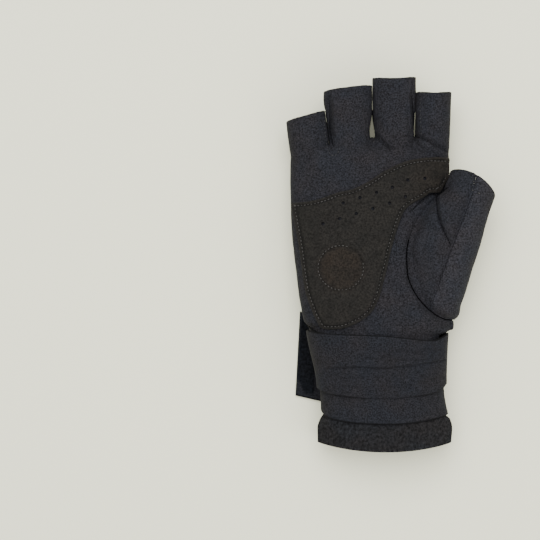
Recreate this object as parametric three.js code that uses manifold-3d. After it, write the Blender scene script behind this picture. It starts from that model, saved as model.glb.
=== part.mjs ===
// A right-hand weightlifting glove with open fingers and a long wrist wrap.
// It lies on its back with the palm up: +Y to the fingers, +X to the thumb, +Z up.
// Lengths are in millimetres. y = 0 is where the hand meets the wrist wrap.

import * as THREE from "three";
import { mergeVertices } from "three/addons/utils/BufferGeometryUtils.js";
import Module from "manifold-3d";

const wasm = await Module();
wasm.setup();

// Hand, as the glove is filled out
const palmWidth = 92.4;
const palmLength = 104;
const palmHeight = 30;
const wristWidth = 68.4;
const wristHeight = 27;
const wristShift = 5.5;
const sleeveLength = 70;
const cuffSeam = 8;

// Finger and thumb stalls
const fingerLength = 41.5;
const fingerHeight = 20.2;
const fingerLift = 7.2;
const openingSlope = 0.16;
const thumbLength = 83.5;
const thumbWidth = 28.4;
const thumbHeight = 23.5;
const thumbLean = 16;

// Cloth and suede
const fabric = 1.6;
const suede = 1.2;
const netting = 1.1;
const tape = 1.2;
const gap = 0.3;

// Wrist wrap, its free end and its hook pad
const wrapThickness = 1.5;
const wrapWidth = 50;
const freeEnd = 8.1;
const hookThickness = 1.1;
const hookMargin = 2;
const wrapLayers = 3;

// Details
const holeWidth = 1.6;
const fourchetteWidth = 13;
const tabBow = 2.2;
const tabWidth = 11.5;
const backSeam = 47;
const insetMargin = 4;
const thumbMargin = 0.4;
const rimBow = 4.9;

// Facets
const bodySides = 34;
const stallSides = 20;
const holeSides = 6;

// Roundness of the sections: 2 is an ellipse, and more is squarer
const crownRoundness = 2.2;
const baseRoundness = 3;
const basePress = 1.08;
const fingerRoundness = 2.4;
const thumbRoundness = 2.3;

const wrapPitch = wrapThickness + gap;
const wrapStack = wrapLayers * wrapPitch;
const farAway = 400;

// Where the stalls start, narrow and part, and how far the spaces that cut them run on
const stallRoot = 0.83 * palmLength;
const stallNeck = 0.945 * palmLength;
const seamLevels = 0.9 * palmLength;
const webStart = 0.985 * palmLength;
const crotchRise = 0.04 * palmLength;
const crotch = palmLength + crotchRise;
const pastFingers = palmLength + 1.3 * fingerLength;
const thumbCrotch = 0.755 * palmLength;
const thumbSplit = 0.6 * palmHeight;
const freeEndMiddle = -0.25 * sleeveLength;

// Sleeve and palm sections from the cuff's rim to the finger crotch.
// along: y as a share of the sleeve or the palm; left, right: shares of the width;
// base: share of the wrap's stack; top: share of the height
const sleeveRows = [
  { along: 1, left: 0.52, right: 0.612, base: 0.5, top: 1.02 },
  { along: 0.87, left: 0.522, right: 0.62, base: 0.5, top: 1.04 },
  { along: 0.77, left: 0.497, right: 0.6, base: 0.7, top: 1.03 },
  { along: 0.7, left: 0.468, right: 0.536, base: 1, top: 1 },
  { along: 0.45, left: 0.48, right: 0.497, base: 1, top: 1 },
  { along: 0.026, left: 0.566, right: 0.512, base: 1, top: 1.05 },
];
const palmRows = [
  { along: -0.0125, left: 0.36, right: 0.4965, base: 1, top: 1.125 },
  { along: 0.0094, left: 0.361, right: 0.5, base: 1, top: 1.125 },
  { along: 0.045, left: 0.411, right: 0.505, base: 1, top: 1.13 },
  { along: 0.1, left: 0.425, right: 0.503, base: 1, top: 1.16 },
  { along: 0.183, left: 0.44, right: 0.503, base: 0.82, top: 1.17 },
  { along: 0.3, left: 0.456, right: 0.5, base: 0.48, top: 1.13 },
  { along: 0.45, left: 0.476, right: 0.498, base: 0.1, top: 1.065 },
  { along: 0.72, left: 0.496, right: 0.498, base: 0, top: 0.97 },
  { along: 0.865, left: 0.498, right: 0.499, base: 0.22, top: 0.92 },
  { along: 0.95, left: 0.498, right: 0.499, base: 0.55, top: 0.88 },
  { along: 1, left: 0.49, right: 0.49, base: 1.05, top: 0.82 },
  { along: 1.03, left: 0.465, right: 0.465, base: 1.75, top: 0.7 },
];

// Finger stalls. left, right: shares of the palm's width at the root, the crotch and the rim;
// reach: rim's distance past the crotch as a share of the finger length; skew: the rim's slope;
// bow: how much further the rim's middle reaches
const fingers = [
  {
    name: "little", reach: 0.47, skew: 0.28, bow: -1,
    left: [-0.47, -0.508, -0.524], right: [-0.256, -0.258, -0.28],
  },
  {
    name: "ring", reach: 0.848, skew: 0.12, bow: -0.4,
    left: [-0.25, -0.253, -0.29], right: [0.013, 0.003, 0.0105],
  },
  {
    name: "middle", reach: 1, skew: 0.02, bow: -1.6,
    left: [0.022, 0.03, 0.0145], right: [0.273, 0.272, 0.2855],
  },
  {
    name: "index", reach: 0.8, skew: 0, bow: -1.6,
    left: [0.286, 0.288, 0.2905], right: [0.475, 0.501, 0.51],
  },
];

// Thumb sections along its axis. along: share of its length; left, right: shares of its width;
// base, top: heights as shares of its height
const thumbRoot = { x: 0.39, y: 0.038 };
const thumbRows = [
  { along: 0, left: 0.14, right: 0.28, base: 0.45, top: 1.05 },
  { along: 0.1, left: 0.32, right: 0.42, base: 0.35, top: 1.32 },
  { along: 0.2, left: 0.54, right: 0.46, base: 0.3, top: 1.5 },
  { along: 0.33, left: 0.74, right: 0.47, base: 0.26, top: 1.59 },
  { along: 0.48, left: 0.86, right: 0.48, base: 0.27, top: 1.62 },
  { along: 0.62, left: 0.85, right: 0.492, base: 0.34, top: 1.62 },
  { along: 0.74, left: 0.73, right: 0.49, base: 0.42, top: 1.6 },
  { along: 0.85, left: 0.58, right: 0.486, base: 0.5, top: 1.58 },
  { along: 0.9, left: 0.53, right: 0.49, base: 0.53, top: 1.58 },
  { along: 1, left: 0.5, right: 0.5, base: 0.6, top: 1.6 },
];
const thumbRim = { skew: -0.23, tilt: 0.27, bow: 2.4 };

// Finger stalls: base as a share of the wrap's stack and height as a share of the finger height,
// at the root and at the crotch; the height is lower by rimTaper at the longest rim
const stallAtRoot = { base: 1.1, height: 0.62 };
const stallAtCrotch = { base: 0.9, height: 1.04 };
const rimTaper = 0.12;

// Pull tabs: start past the crotch as a share of the finger length, and the sides that they span
const tabStarts = { ring: 0.145, middle: 0.304 };
const tabSpan = { first: 0.58, last: 0.92 };

// Seam round the thumb on the palm, and on the back: shares of the palm's width and length
const thumbSeamPalm = [
  [0.62, 0.05], [0.5, 0.06], [0.465, 0.064], [0.409, 0.089], [0.353, 0.128], [0.294, 0.187],
  [0.254, 0.251], [0.234, 0.307], [0.228, 0.396], [0.235, 0.474], [0.265, 0.569],
  [0.34, 0.675], [0.416, 0.741], [0.5, 0.76], [0.9, 0.76],
];
const thumbSeamBack = [
  [0.62, 0.05], [0.53, 0.06], [0.455, 0.135], [0.444, 0.277], [0.478, 0.477], [0.492, 0.638],
  [0.493, 0.76], [0.9, 0.76],
];

// Line on the thumb where its two panels meet: shares of the palm's width and length
const thumbPanelLine = [[0.39, -0.1], [0.371, 0.152], [0.495, 0.464], [0.608, 0.733], [0.66, 1.2]];

// Outlines are runs of points that smooth curves follow, with a corner between two runs.
// Suede patch on the palm: shares of the palm's width and length
const patchOutline = [
  [
    [-0.489, 0.708], [-0.34, 0.722], [-0.204, 0.764], [-0.11, 0.783], [-0.009, 0.827],
    [0.085, 0.881], [0.22, 0.937], [0.38, 0.962], [0.52, 0.962],
  ],
  [[0.52, 0.962], [0.52, 0.85]],
  [
    [0.52, 0.85], [0.441, 0.776], [0.372, 0.764], [0.329, 0.738], [0.236, 0.686], [0.193, 0.63],
    [0.135, 0.474], [0.091, 0.312], [0.043, 0.167], [-0.024, 0.078], [-0.15, 0.017], [-0.252, 0.004],
  ],
  [[-0.252, 0.004], [-0.307, 0.018], [-0.354, 0.089]],
  [[-0.354, 0.089], [-0.404, 0.226], [-0.441, 0.463], [-0.482, 0.669], [-0.489, 0.708]],
];

// Rows of holes in the patch: shares of the palm's width and length, evenly spaced along a curve
const holeRows = [
  { holes: 6, path: [[0.341, 0.843], [0.233, 0.834], [0.139, 0.794], [-0.17, 0.706]] },
  { holes: 6, path: [[0.218, 0.741], [0.116, 0.704], [-0.092, 0.646], [-0.297, 0.591]] },
];

// Half-moon cut in the back, over the netting: shares of the palm's width and length
const cutOutline = [
  [
    [-0.32, 0.05], [-0.32, 0.076], [-0.264, 0.131], [-0.201, 0.17], [-0.122, 0.198],
    [-0.061, 0.2], [0.018, 0.185], [0.09, 0.151], [0.1, 0.12],
  ],
  [[0.1, 0.12], [-0.32, 0.05]],
];

// Wrist wrap. turn: turns from the thumb side, first over the back; layer: wraps under it;
// top, bottom: y of its edges as shares of the wrap's width
const wrapRows = [
  { turn: 0.08, layer: 0, top: 0.54, bottom: -0.2 },
  { turn: 0.14, layer: 0, top: 0.44, bottom: -0.3 },
  { turn: 0.25, layer: 0, top: 0.28, bottom: -0.5 },
  { turn: 0.4, layer: 0, top: 0.14, bottom: -0.78 },
  { turn: 0.5, layer: 0, top: 0.04, bottom: -0.93 },
  { turn: 0.6, layer: 0, top: -0.04, bottom: -1.03 },
  { turn: 0.75, layer: 0, top: -0.16, bottom: -1.08 },
  { turn: 0.9, layer: 0, top: -0.12, bottom: -1.02 },
  { turn: 1, layer: 1, top: -0.06, bottom: -0.98 },
  { turn: 1.12, layer: 1, top: -0.04, bottom: -0.97 },
  { turn: 1.25, layer: 1, top: 0, bottom: -0.96 },
  { turn: 1.5, layer: 1, top: 0, bottom: -0.68 },
  { turn: 1.6, layer: 1, top: -0.03, bottom: -0.74 },
  { turn: 1.75, layer: 1, top: -0.055, bottom: -0.78 },
  { turn: 1.9, layer: 1, top: -0.115, bottom: -0.73 },
  { turn: 2, layer: 2, top: -0.035, bottom: -0.63 },
  { turn: 2.12, layer: 2, top: -0.036, bottom: -0.88 },
  { turn: 2.25, layer: 2, top: 0.03, bottom: -0.97 },
  { turn: 2.31, layer: 2, top: 0.07, bottom: -0.93 },
];
const wrapTip = { top: 0.208, bottom: -0.79 };
const wrapAcross = 4;

// Value at x in rows sorted by one column, with the others between two rows in proportion
function rowAt(rows, column, x) {
  let i = 1;
  while (i < rows.length - 1 && rows[i][column] < x) i += 1;
  const a = rows[i - 1];
  const b = rows[i];
  const t = (x - a[column]) / (b[column] - a[column]);
  const row = {};
  for (const key of Object.keys(a)) {
    row[key] = a[key] + (b[key] - a[key]) * t;
  }
  return row;
}

// Closed section of a filled glove: an oval with a crowned top and a flatter, level base
function ovalSection(row, sides, grow, crown, flatness, middle, press) {
  const halfWidth = (row.right - row.left) / 2;
  const centre = (row.right + row.left) / 2;
  const mid = row.base + (row.top - row.base) * middle;
  const points = [];
  for (let i = 0; i < sides; i += 1) {
    const angle = (2 * Math.PI * i) / sides;
    const c = Math.cos(angle);
    const s = Math.sin(angle);
    const power = 2 / (s < 0 ? flatness : crown);
    const x = centre + halfWidth * Math.sign(c) * Math.abs(c) ** power;
    const rise = s < 0 ? (mid - row.base) * press : row.top - mid;
    const z = mid + rise * Math.sign(s) * Math.abs(s) ** power;
    points.push([x, Math.max(z, row.base)]);
  }
  return growLoop(points, grow);
}

// A closed loop of points with each side moved outwards; the loop runs anticlockwise
function growLoop(points, grow) {
  const count = points.length;
  const normals = points.map(([x, z], i) => {
    const [nextX, nextZ] = points[(i + 1) % count];
    const size = Math.hypot(nextX - x, nextZ - z);
    return [(nextZ - z) / size, (x - nextX) / size];
  });
  return points.map(([x, z], i) => {
    const [ax, az] = normals[(i + count - 1) % count];
    const [bx, bz] = normals[i];
    const spread = 1 + ax * bx + az * bz;
    return [x + (grow * (ax + bx)) / spread, z + (grow * (az + bz)) / spread];
  });
}

// The body's rows in millimetres, from the cuff's rim to the crotch
const bodyRows = [
  ...sleeveRows.map((row) => ({
    y: -row.along * sleeveLength,
    left: wristShift - row.left * wristWidth,
    right: wristShift + row.right * wristWidth,
    base: row.base * wrapStack,
    top: wrapStack + row.top * wristHeight,
  })),
  ...palmRows.map((row) => ({
    y: row.along * palmLength,
    left: -row.left * palmWidth,
    right: row.right * palmWidth,
    base: row.base * wrapStack,
    top: row.top * palmHeight,
  })),
];
const bodyMiddle = 0.45;

// Section of the sleeve and palm at y, grown by a distance
function bodySection(y, grow) {
  const row = rowAt(bodyRows, "y", y);
  return ovalSection(row, bodySides, grow, crownRoundness, baseRoundness, bodyMiddle, basePress);
}

// Sides, base and top of a finger stall at y
function stallRow(finger, y) {
  const rim = palmLength + finger.reach * fingerLength;
  const lower = y < crotch;
  const t = lower ? (y - stallRoot) / (crotch - stallRoot) : (y - crotch) / (rim - crotch);
  const first = lower ? 0 : 1;
  const mix = (shares) => palmWidth * (shares[first] + (shares[first + 1] - shares[first]) * t);
  const lift = Math.max(0, y - crotch) / (fingerLength - crotchRise);
  const grown = lower ? t : 1;
  const between = (column) => {
    return stallAtRoot[column] + (stallAtCrotch[column] - stallAtRoot[column]) * grown;
  };
  const base = wrapStack * between("base") + lift * fingerLift;
  const height = fingerHeight * (between("height") - rimTaper * lift);
  return { left: mix(finger.left), right: mix(finger.right), base, top: base + height };
}

// Section of a finger stall at y, grown by a distance
function stallSection(finger, y, grow) {
  const row = stallRow(finger, y);
  return ovalSection(row, stallSides, grow, fingerRoundness, fingerRoundness, 0.5, 1);
}

// Height of the seam between the palm and the back at y
function seamHeight(y) {
  if (y > palmLength) {
    const row = stallRow(fingers[2], y);
    return (row.base + row.top) / 2;
  }
  const row = rowAt(bodyRows, "y", y);
  return row.base + (row.top - row.base) * bodyMiddle;
}

// A closed mesh through rings of as many points each, which may run either way round
function loftRings(rings) {
  const sides = rings[0].length;
  const faces = [];
  const at = (i, j) => i * sides + (j % sides);
  for (let i = 0; i + 1 < rings.length; i += 1) {
    for (let j = 0; j < sides; j += 1) {
      faces.push([at(i, j), at(i + 1, j), at(i, j + 1)]);
      faces.push([at(i + 1, j), at(i + 1, j + 1), at(i, j + 1)]);
    }
  }
  const last = rings.length - 1;
  for (let j = 0; j + 1 < sides / 2; j += 1) {
    const near = [j, j + 1, sides - 2 - j, sides - 1 - j];
    faces.push([at(0, near[0]), at(0, near[1]), at(0, near[2])]);
    faces.push([at(0, near[0]), at(0, near[2]), at(0, near[3])]);
    faces.push([at(last, near[1]), at(last, near[0]), at(last, near[2])]);
    faces.push([at(last, near[2]), at(last, near[0]), at(last, near[3])]);
  }
  const points = rings.flat().map((p) => new THREE.Vector3(...p));
  const volume = faces.reduce((sum, [a, b, c]) => {
    return sum + points[a].dot(new THREE.Vector3().crossVectors(points[b], points[c]));
  }, 0);
  const ordered = volume < 0 ? faces.map(([a, b, c]) => [a, c, b]) : faces;
  const geometry = new THREE.BufferGeometry().setFromPoints(points);
  geometry.setIndex(ordered.flat());
  return geometry;
}

// A three.js geometry as a solid that can be cut and joined
function solidOf(geometry) {
  geometry.deleteAttribute("normal");
  geometry.deleteAttribute("uv");
  const merged = mergeVertices(geometry, 1e-4);
  return new wasm.Manifold(
    new wasm.Mesh({
      numProp: 3,
      vertProperties: new Float32Array(merged.attributes.position.array),
      triVerts: new Uint32Array(merged.index.array),
    }),
  );
}

function geometryOf(solid) {
  const mesh = solid.getMesh();
  const geometry = new THREE.BufferGeometry();
  geometry.setAttribute("position", new THREE.BufferAttribute(mesh.vertProperties, 3));
  geometry.setIndex(new THREE.BufferAttribute(mesh.triVerts, 1));
  const faceted = geometry.toNonIndexed();
  faceted.computeVertexNormals();
  return faceted;
}

// A smooth outline through runs of points given as shares of the palm
function smoothOutline(runs, perSpan = 2) {
  const outline = [];
  for (const run of runs) {
    const corners = run.map(([x, y]) => new THREE.Vector2(x * palmWidth, y * palmLength));
    const straight = corners.length === 2;
    const divisions = straight ? 1 : (corners.length - 1) * perSpan;
    const points = straight ? corners : new THREE.SplineCurve(corners).getPoints(divisions);
    outline.push(...points.slice(0, -1).map((p) => [p.x, p.y]));
  }
  return outline;
}

function isAnticlockwise(points) {
  return THREE.ShapeUtils.area(points.map(([x, y]) => ({ x, y }))) > 0;
}

// Upright prism over an outline in the XY plane, grown sideways
function prism(outline, low, high, grow = 0) {
  const loop = isAnticlockwise(outline) ? outline : [...outline].reverse();
  const corners = growLoop(loop, grow).map(([x, y]) => new THREE.Vector2(x, y));
  const options = { depth: high - low, bevelEnabled: false };
  const geometry = new THREE.ExtrudeGeometry(new THREE.Shape(corners), options);
  geometry.translate(0, 0, low);
  return solidOf(geometry);
}

// Prism across the glove over an outline in the YZ plane
function crossPrism(outline, left, right) {
  const corners = outline.map(([y, z]) => new THREE.Vector2(y, z));
  const options = { depth: right - left, bevelEnabled: false };
  const geometry = new THREE.ExtrudeGeometry(new THREE.Shape(corners), options);
  const turn = new THREE.Matrix4().makeBasis(
    new THREE.Vector3(0, 1, 0),
    new THREE.Vector3(0, 0, 1),
    new THREE.Vector3(1, 0, 0),
  );
  geometry.applyMatrix4(turn);
  geometry.translate(left, 0, 0);
  return solidOf(geometry);
}

// Everything on the fingers' side of a y
function beyond(y) {
  const outline = [[-farAway, y], [farAway, y], [farAway, farAway], [-farAway, farAway]];
  return prism(outline, -farAway, farAway);
}

// Sleeve and palm as a filled form; the cuff's rim curves, and open ends run on past it
function bodyForm(grow, openEnd) {
  const rows = bodyRows.map((row) => row.y);
  rows[rows.length - 1] += Math.min(grow, 0);
  const rings = rows.map((y, i) => {
    const row = rowAt(bodyRows, "y", y);
    const centre = (row.left + row.right) / 2;
    const half = (row.right - row.left) / 2;
    return bodySection(y, grow).map(([x, z]) => {
      const bow = i === 0 ? rimBow * Math.min(1, ((x - centre) / half) ** 2) : 0;
      return [x, y + bow, z];
    });
  });
  if (openEnd) rings.unshift(rings[0].map(([x, , z]) => [x, -sleeveLength * 1.2, z]));
  return solidOf(loftRings(rings));
}

function stallForm(finger, grow, openEnd) {
  const rim = palmLength + finger.reach * fingerLength;
  const stations = [stallRoot, stallNeck, crotch, (crotch + rim) / 2, rim];
  const last = stations.length - 1;
  const rings = stations.map((y, i) => {
    const row = stallRow(finger, y);
    const centre = (row.left + row.right) / 2;
    const middle = (row.base + row.top) / 2;
    return stallSection(finger, y, grow).map(([x, z]) => {
      if (i < last) return [x, y, z];
      const across = x - centre;
      const bow = finger.bow * (1 - (across / (row.right - centre)) ** 2);
      return [x, y + finger.skew * across + openingSlope * (z - middle) + bow, z];
    });
  });
  if (openEnd) rings.push(rings[last].map(([x, y, z]) => [x, y + fingerLength, z]));
  return solidOf(loftRings(rings));
}

// Thumb stall: rings square to its axis, with a slanted rim
function thumbForm(grow, openEnd) {
  const lean = THREE.MathUtils.degToRad(thumbLean);
  const along = new THREE.Vector2(Math.sin(lean), Math.cos(lean));
  const across = new THREE.Vector2(Math.cos(lean), -Math.sin(lean));
  const rootX = thumbRoot.x * palmWidth;
  const rootY = thumbRoot.y * palmLength;
  const rings = thumbRows.map((row, i) => {
    const size = {
      left: -row.left * thumbWidth,
      right: row.right * thumbWidth,
      base: row.base * thumbHeight,
      top: row.top * thumbHeight,
    };
    const rim = i === thumbRows.length - 1;
    const middle = (size.base + size.top) / 2;
    const section = ovalSection(size, stallSides, grow, thumbRoundness, thumbRoundness, 0.5, 1);
    return section.map(([u, z]) => {
      const bow = thumbRim.bow * (1 - (u / size.right) ** 2);
      const slant = rim ? thumbRim.skew * u + thumbRim.tilt * (z - middle) + bow : 0;
      const s = row.along * thumbLength + slant;
      return [rootX + along.x * s + across.x * u, rootY + along.y * s + across.y * u, z];
    });
  });
  if (openEnd) {
    const onward = along.clone().multiplyScalar(thumbLength);
    const last = rings[rings.length - 1];
    rings.push(last.map(([x, y, z]) => [x + onward.x, y + onward.y, z]));
  }
  return solidOf(loftRings(rings));
}

// The whole glove as one filled form
function gloveForm(grow, openEnd) {
  const parts = [bodyForm(grow, openEnd), thumbForm(grow, openEnd)];
  for (const finger of fingers) parts.push(stallForm(finger, grow, openEnd));
  return wasm.Manifold.union(parts);
}

const inPalm = ([x, y]) => [x * palmWidth, y * palmLength];
const shell = gloveForm(0, false).subtract(gloveForm(-fabric, true));

// Space above the seam between the palm and the back
function palmSide(shift) {
  const stations = bodyRows.map((row) => row.y).filter((y) => y < seamLevels);
  stations.push(crotch, pastFingers);
  const line = stations.map((y) => [y, seamHeight(y) + shift]);
  line[0][0] = -farAway;
  const end = line[line.length - 1][0];
  return crossPrism([...line, [end, farAway], [-farAway, farAway]], -farAway, farAway);
}

// Space of the thumb: within its seams below the crotch, and round its own stall above it
function thumbSpace(grow) {
  const palmPart = prism(thumbSeamPalm.map(inPalm), thumbSplit - grow, farAway, grow);
  const backPart = prism(thumbSeamBack.map(inPalm), -farAway, thumbSplit + grow, grow);
  const stall = thumbForm(thumbMargin + grow, true).intersect(beyond(thumbCrotch - grow));
  return wasm.Manifold.union([palmPart, backPart, stall]);
}

// Space of the strip between a finger and the next: its sides and the crotch's web
function fourchetteSpace(index, grow) {
  const middleOf = (finger) => (palmWidth * (finger.left[1] + finger.right[1])) / 2;
  const left = middleOf(fingers[index]) - grow;
  const right = middleOf(fingers[index + 1]) + grow;
  const half = fourchetteWidth / 2 + grow;
  const line = [webStart - grow, crotch, pastFingers].map((y) => [y, seamHeight(y)]);
  const lower = line.map(([y, z]) => [y, z - half]);
  const upper = line.map(([y, z]) => [y, z + half]).reverse();
  return crossPrism([...lower, ...upper], left, right);
}

const handOnly = shell.intersect(beyond(-cuffSeam + gap));
const strips = [0, 1, 2].map((index) => handOnly.intersect(fourchetteSpace(index, 0)));
const cutStrips = [0, 1, 2].map((index) => fourchetteSpace(index, gap));
const panels = handOnly.subtract(wasm.Manifold.union([thumbSpace(gap), ...cutStrips]));
const palmPanel = panels.intersect(palmSide(gap / 2));
const backPanels = panels.subtract(palmSide(-gap / 2));
const backPanel = backPanels.intersect(beyond(backSeam + gap / 2));
const cutOut = smoothOutline(cutOutline);
const lowerBackPanel = backPanels
  .subtract(beyond(backSeam - gap / 2))
  .subtract(prism(cutOut, -farAway, thumbSplit));

// Netting inside the back, which shows through the half-moon cut
const nettingTop = seamHeight(0) - 0.2 * palmHeight;
function backNetting() {
  const outer = bodyForm(-fabric - gap, false);
  const inner = bodyForm(-fabric - gap - netting, false);
  const area = prism(cutOut, -farAway, nettingTop, insetMargin);
  return outer.subtract(inner).intersect(area);
}

// Suede patch laid on the palm, with rows of holes
function palmPatch() {
  const layer = gloveForm(gap + suede, false).subtract(gloveForm(gap, false));
  const holes = [];
  for (const row of holeRows) {
    const corners = row.path.map(inPalm).map(([x, y]) => new THREE.Vector2(x, y));
    for (const place of new THREE.SplineCurve(corners).getSpacedPoints(row.holes - 1)) {
      const radius = holeWidth / 2;
      const disc = new THREE.CylinderGeometry(radius, radius, palmHeight, holeSides);
      disc.rotateX(Math.PI / 2);
      disc.translate(place.x, place.y, palmHeight);
      holes.push(solidOf(disc));
    }
  }
  const top = prism(smoothOutline(patchOutline), thumbSplit, farAway);
  return layer
    .intersect(top)
    .subtract(thumbSpace(gap))
    .subtract(wasm.Manifold.union(holes));
}

// Thumb: one panel faces the palm, and one wraps round the back
const thumb = shell.intersect(thumbSpace(0));
function thumbInnerSpace(shift) {
  const line = thumbPanelLine.map(inPalm).map(([x, y]) => [x + shift, y]);
  const outline = [...line, [-farAway, farAway], [-farAway, -farAway]];
  return prism(outline, thumbSplit - shift, farAway);
}

// Pull tab: a bowed tape across the back of a finger, from one side seam to the other
function pullTab(finger, share) {
  const start = palmLength + share * fingerLength;
  const first = Math.round(stallSides * tabSpan.first);
  const last = Math.round(stallSides * tabSpan.last);
  const rings = [];
  for (let i = first; i <= last; i += 1) {
    const bow = tabBow * Math.sin((Math.PI * (i - first)) / (last - first));
    const near = gap + bow;
    const ring = [[start, near], [start + tabWidth, near]];
    ring.push([start + tabWidth, near + tape], [start, near + tape]);
    rings.push(ring.map(([y, grow]) => {
      const [x, z] = stallSection(finger, y, grow)[i];
      return [x, y, z];
    }));
  }
  return solidOf(loftRings(rings));
}

// Wrist wrap: a flat band wound in layers, whose end runs out flat past the little finger's side
function wristWrap() {
  const rings = [];
  const firstSide = Math.ceil(wrapRows[0].turn * bodySides);
  const lastSide = Math.floor(wrapRows[wrapRows.length - 1].turn * bodySides);
  const bandRing = (place, top, bottom) => {
    const ring = [];
    for (let k = 0; k < wrapAcross; k += 1) {
      ring.push(place(top + ((bottom - top) * k) / (wrapAcross - 1), wrapThickness));
    }
    for (let k = wrapAcross - 1; k >= 0; k -= 1) {
      ring.push(place(top + ((bottom - top) * k) / (wrapAcross - 1), 0));
    }
    return ring;
  };
  for (let side = firstSide; side <= lastSide; side += 1) {
    const row = rowAt(wrapRows, "turn", side / bodySides);
    const corner = (2 * bodySides * wrapLayers - side) % bodySides;
    const near = gap + row.layer * wrapPitch;
    const place = (y, depth) => {
      const [x, z] = bodySection(y, near + depth)[corner];
      return [x, y, z];
    };
    rings.push(bandRing(place, row.top * wrapWidth, row.bottom * wrapWidth));
  }
  const wrist = rowAt(bodyRows, "y", freeEndMiddle);
  const tipX = wrist.left - 2 * wrapPitch - freeEnd;
  const flat = (x) => (y, depth) => [x, y, wrapThickness - depth];
  rings.push(bandRing(flat(tipX), wrapTip.top * wrapWidth, wrapTip.bottom * wrapWidth));
  return { solid: solidOf(loftRings(rings)).subtract(gloveForm(gap / 2, false)), tipX };
}

const wrap = wristWrap();

// Hook pad on the free end's upper face
function hookPad() {
  const wrist = rowAt(bodyRows, "y", freeEndMiddle);
  const left = wrap.tipX + hookMargin;
  const right = wrist.left - wrapPitch;
  const top = wrapTip.top * wrapWidth - hookMargin;
  const bottom = wrapTip.bottom * wrapWidth + hookMargin;
  const base = wrapThickness + gap;
  const outline = [[left, bottom], [right, bottom], [right, top], [left, top]];
  return prism(outline, base, base + hookThickness);
}

const colours = {
  cloth: { color: 0x26262a, roughness: 0.9 },
  suede: { color: 0x2a2622, roughness: 0.95 },
  knit: { color: 0x222226, roughness: 0.92 },
  elastic: { color: 0x27272b, roughness: 0.88 },
  hook: { color: 0x1a1a1c, roughness: 0.8 },
};

const nodes = [
  ["palm_panel", palmPanel, "cloth"],
  ["back_panel", backPanel, "cloth"],
  ["lower_back_panel", lowerBackPanel, "cloth"],
  ["back_netting", backNetting(), "knit"],
  ["fourchette_little_ring", strips[0], "cloth"],
  ["fourchette_ring_middle", strips[1], "cloth"],
  ["fourchette_middle_index", strips[2], "cloth"],
  ["thumb_inner_panel", thumb.intersect(thumbInnerSpace(-gap / 2)), "cloth"],
  ["thumb_outer_panel", thumb.subtract(thumbInnerSpace(gap / 2)), "cloth"],
  ["palm_patch", palmPatch(), "suede"],
  ["pull_tab_ring", pullTab(fingers[1], tabStarts.ring), "elastic"],
  ["pull_tab_middle", pullTab(fingers[2], tabStarts.middle), "elastic"],
  ["knit_cuff", shell.subtract(beyond(-cuffSeam)), "knit"],
  ["wrist_wrap", wrap.solid, "elastic"],
  ["hook_pad", hookPad(), "hook"],
];

// The assembly, stood on its base with its box centred on the origin
const glove = new THREE.Group();
for (const [name, solid, finish] of nodes) {
  const mesh = new THREE.Mesh(
    geometryOf(solid),
    new THREE.MeshStandardMaterial({ ...colours[finish], metalness: 0 }),
  );
  mesh.name = name;
  glove.add(mesh);
}
const box = new THREE.Box3().setFromObject(glove);
glove.position.set(-(box.min.x + box.max.x) / 2, -(box.min.y + box.max.y) / 2, -box.min.z);

export default glove;
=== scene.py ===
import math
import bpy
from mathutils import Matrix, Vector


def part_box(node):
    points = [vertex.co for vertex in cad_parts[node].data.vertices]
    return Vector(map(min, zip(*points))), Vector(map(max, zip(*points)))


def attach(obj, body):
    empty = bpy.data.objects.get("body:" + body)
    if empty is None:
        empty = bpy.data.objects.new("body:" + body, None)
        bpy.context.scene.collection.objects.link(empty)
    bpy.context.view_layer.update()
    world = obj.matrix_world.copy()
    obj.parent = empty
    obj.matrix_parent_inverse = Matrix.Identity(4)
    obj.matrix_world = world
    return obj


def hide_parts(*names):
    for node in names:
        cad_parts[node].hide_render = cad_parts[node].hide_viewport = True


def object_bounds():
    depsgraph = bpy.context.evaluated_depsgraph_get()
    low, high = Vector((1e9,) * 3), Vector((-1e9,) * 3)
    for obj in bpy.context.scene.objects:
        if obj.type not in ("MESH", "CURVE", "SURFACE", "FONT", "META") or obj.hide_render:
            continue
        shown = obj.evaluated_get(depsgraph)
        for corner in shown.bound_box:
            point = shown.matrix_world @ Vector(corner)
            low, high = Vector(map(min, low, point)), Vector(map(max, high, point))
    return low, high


bl_info = {
    "name": "Weightlifting glove",
    "version": (1, 0, 0),
    "blender": (4, 5, 0),
    "location": "3D View > Sidebar > Glove",
    "description": "Dresses the solids of a right-hand training glove in cloth, suede, knit and thread",
    "category": "Object",
}

import bmesh
import bpy
import numpy as np
from bpy.props import FloatProperty, FloatVectorProperty, IntProperty, PointerProperty
from mathutils import Vector, noise
from mathutils.bvhtree import BVHTree
from mathutils.geometry import delaunay_2d_cdt

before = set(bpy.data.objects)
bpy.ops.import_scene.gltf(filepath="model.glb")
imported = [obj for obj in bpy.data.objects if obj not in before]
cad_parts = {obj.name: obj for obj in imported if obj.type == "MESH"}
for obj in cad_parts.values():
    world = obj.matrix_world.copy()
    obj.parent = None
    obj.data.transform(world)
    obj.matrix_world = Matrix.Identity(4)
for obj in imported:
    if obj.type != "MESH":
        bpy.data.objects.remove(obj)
CAD_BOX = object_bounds()

# All shapes are worked out in millimetres from the middle of the wrist seam, palm up and
# fingers to +Y, and set down in the frame at the end.
MM = 0.001

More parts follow.
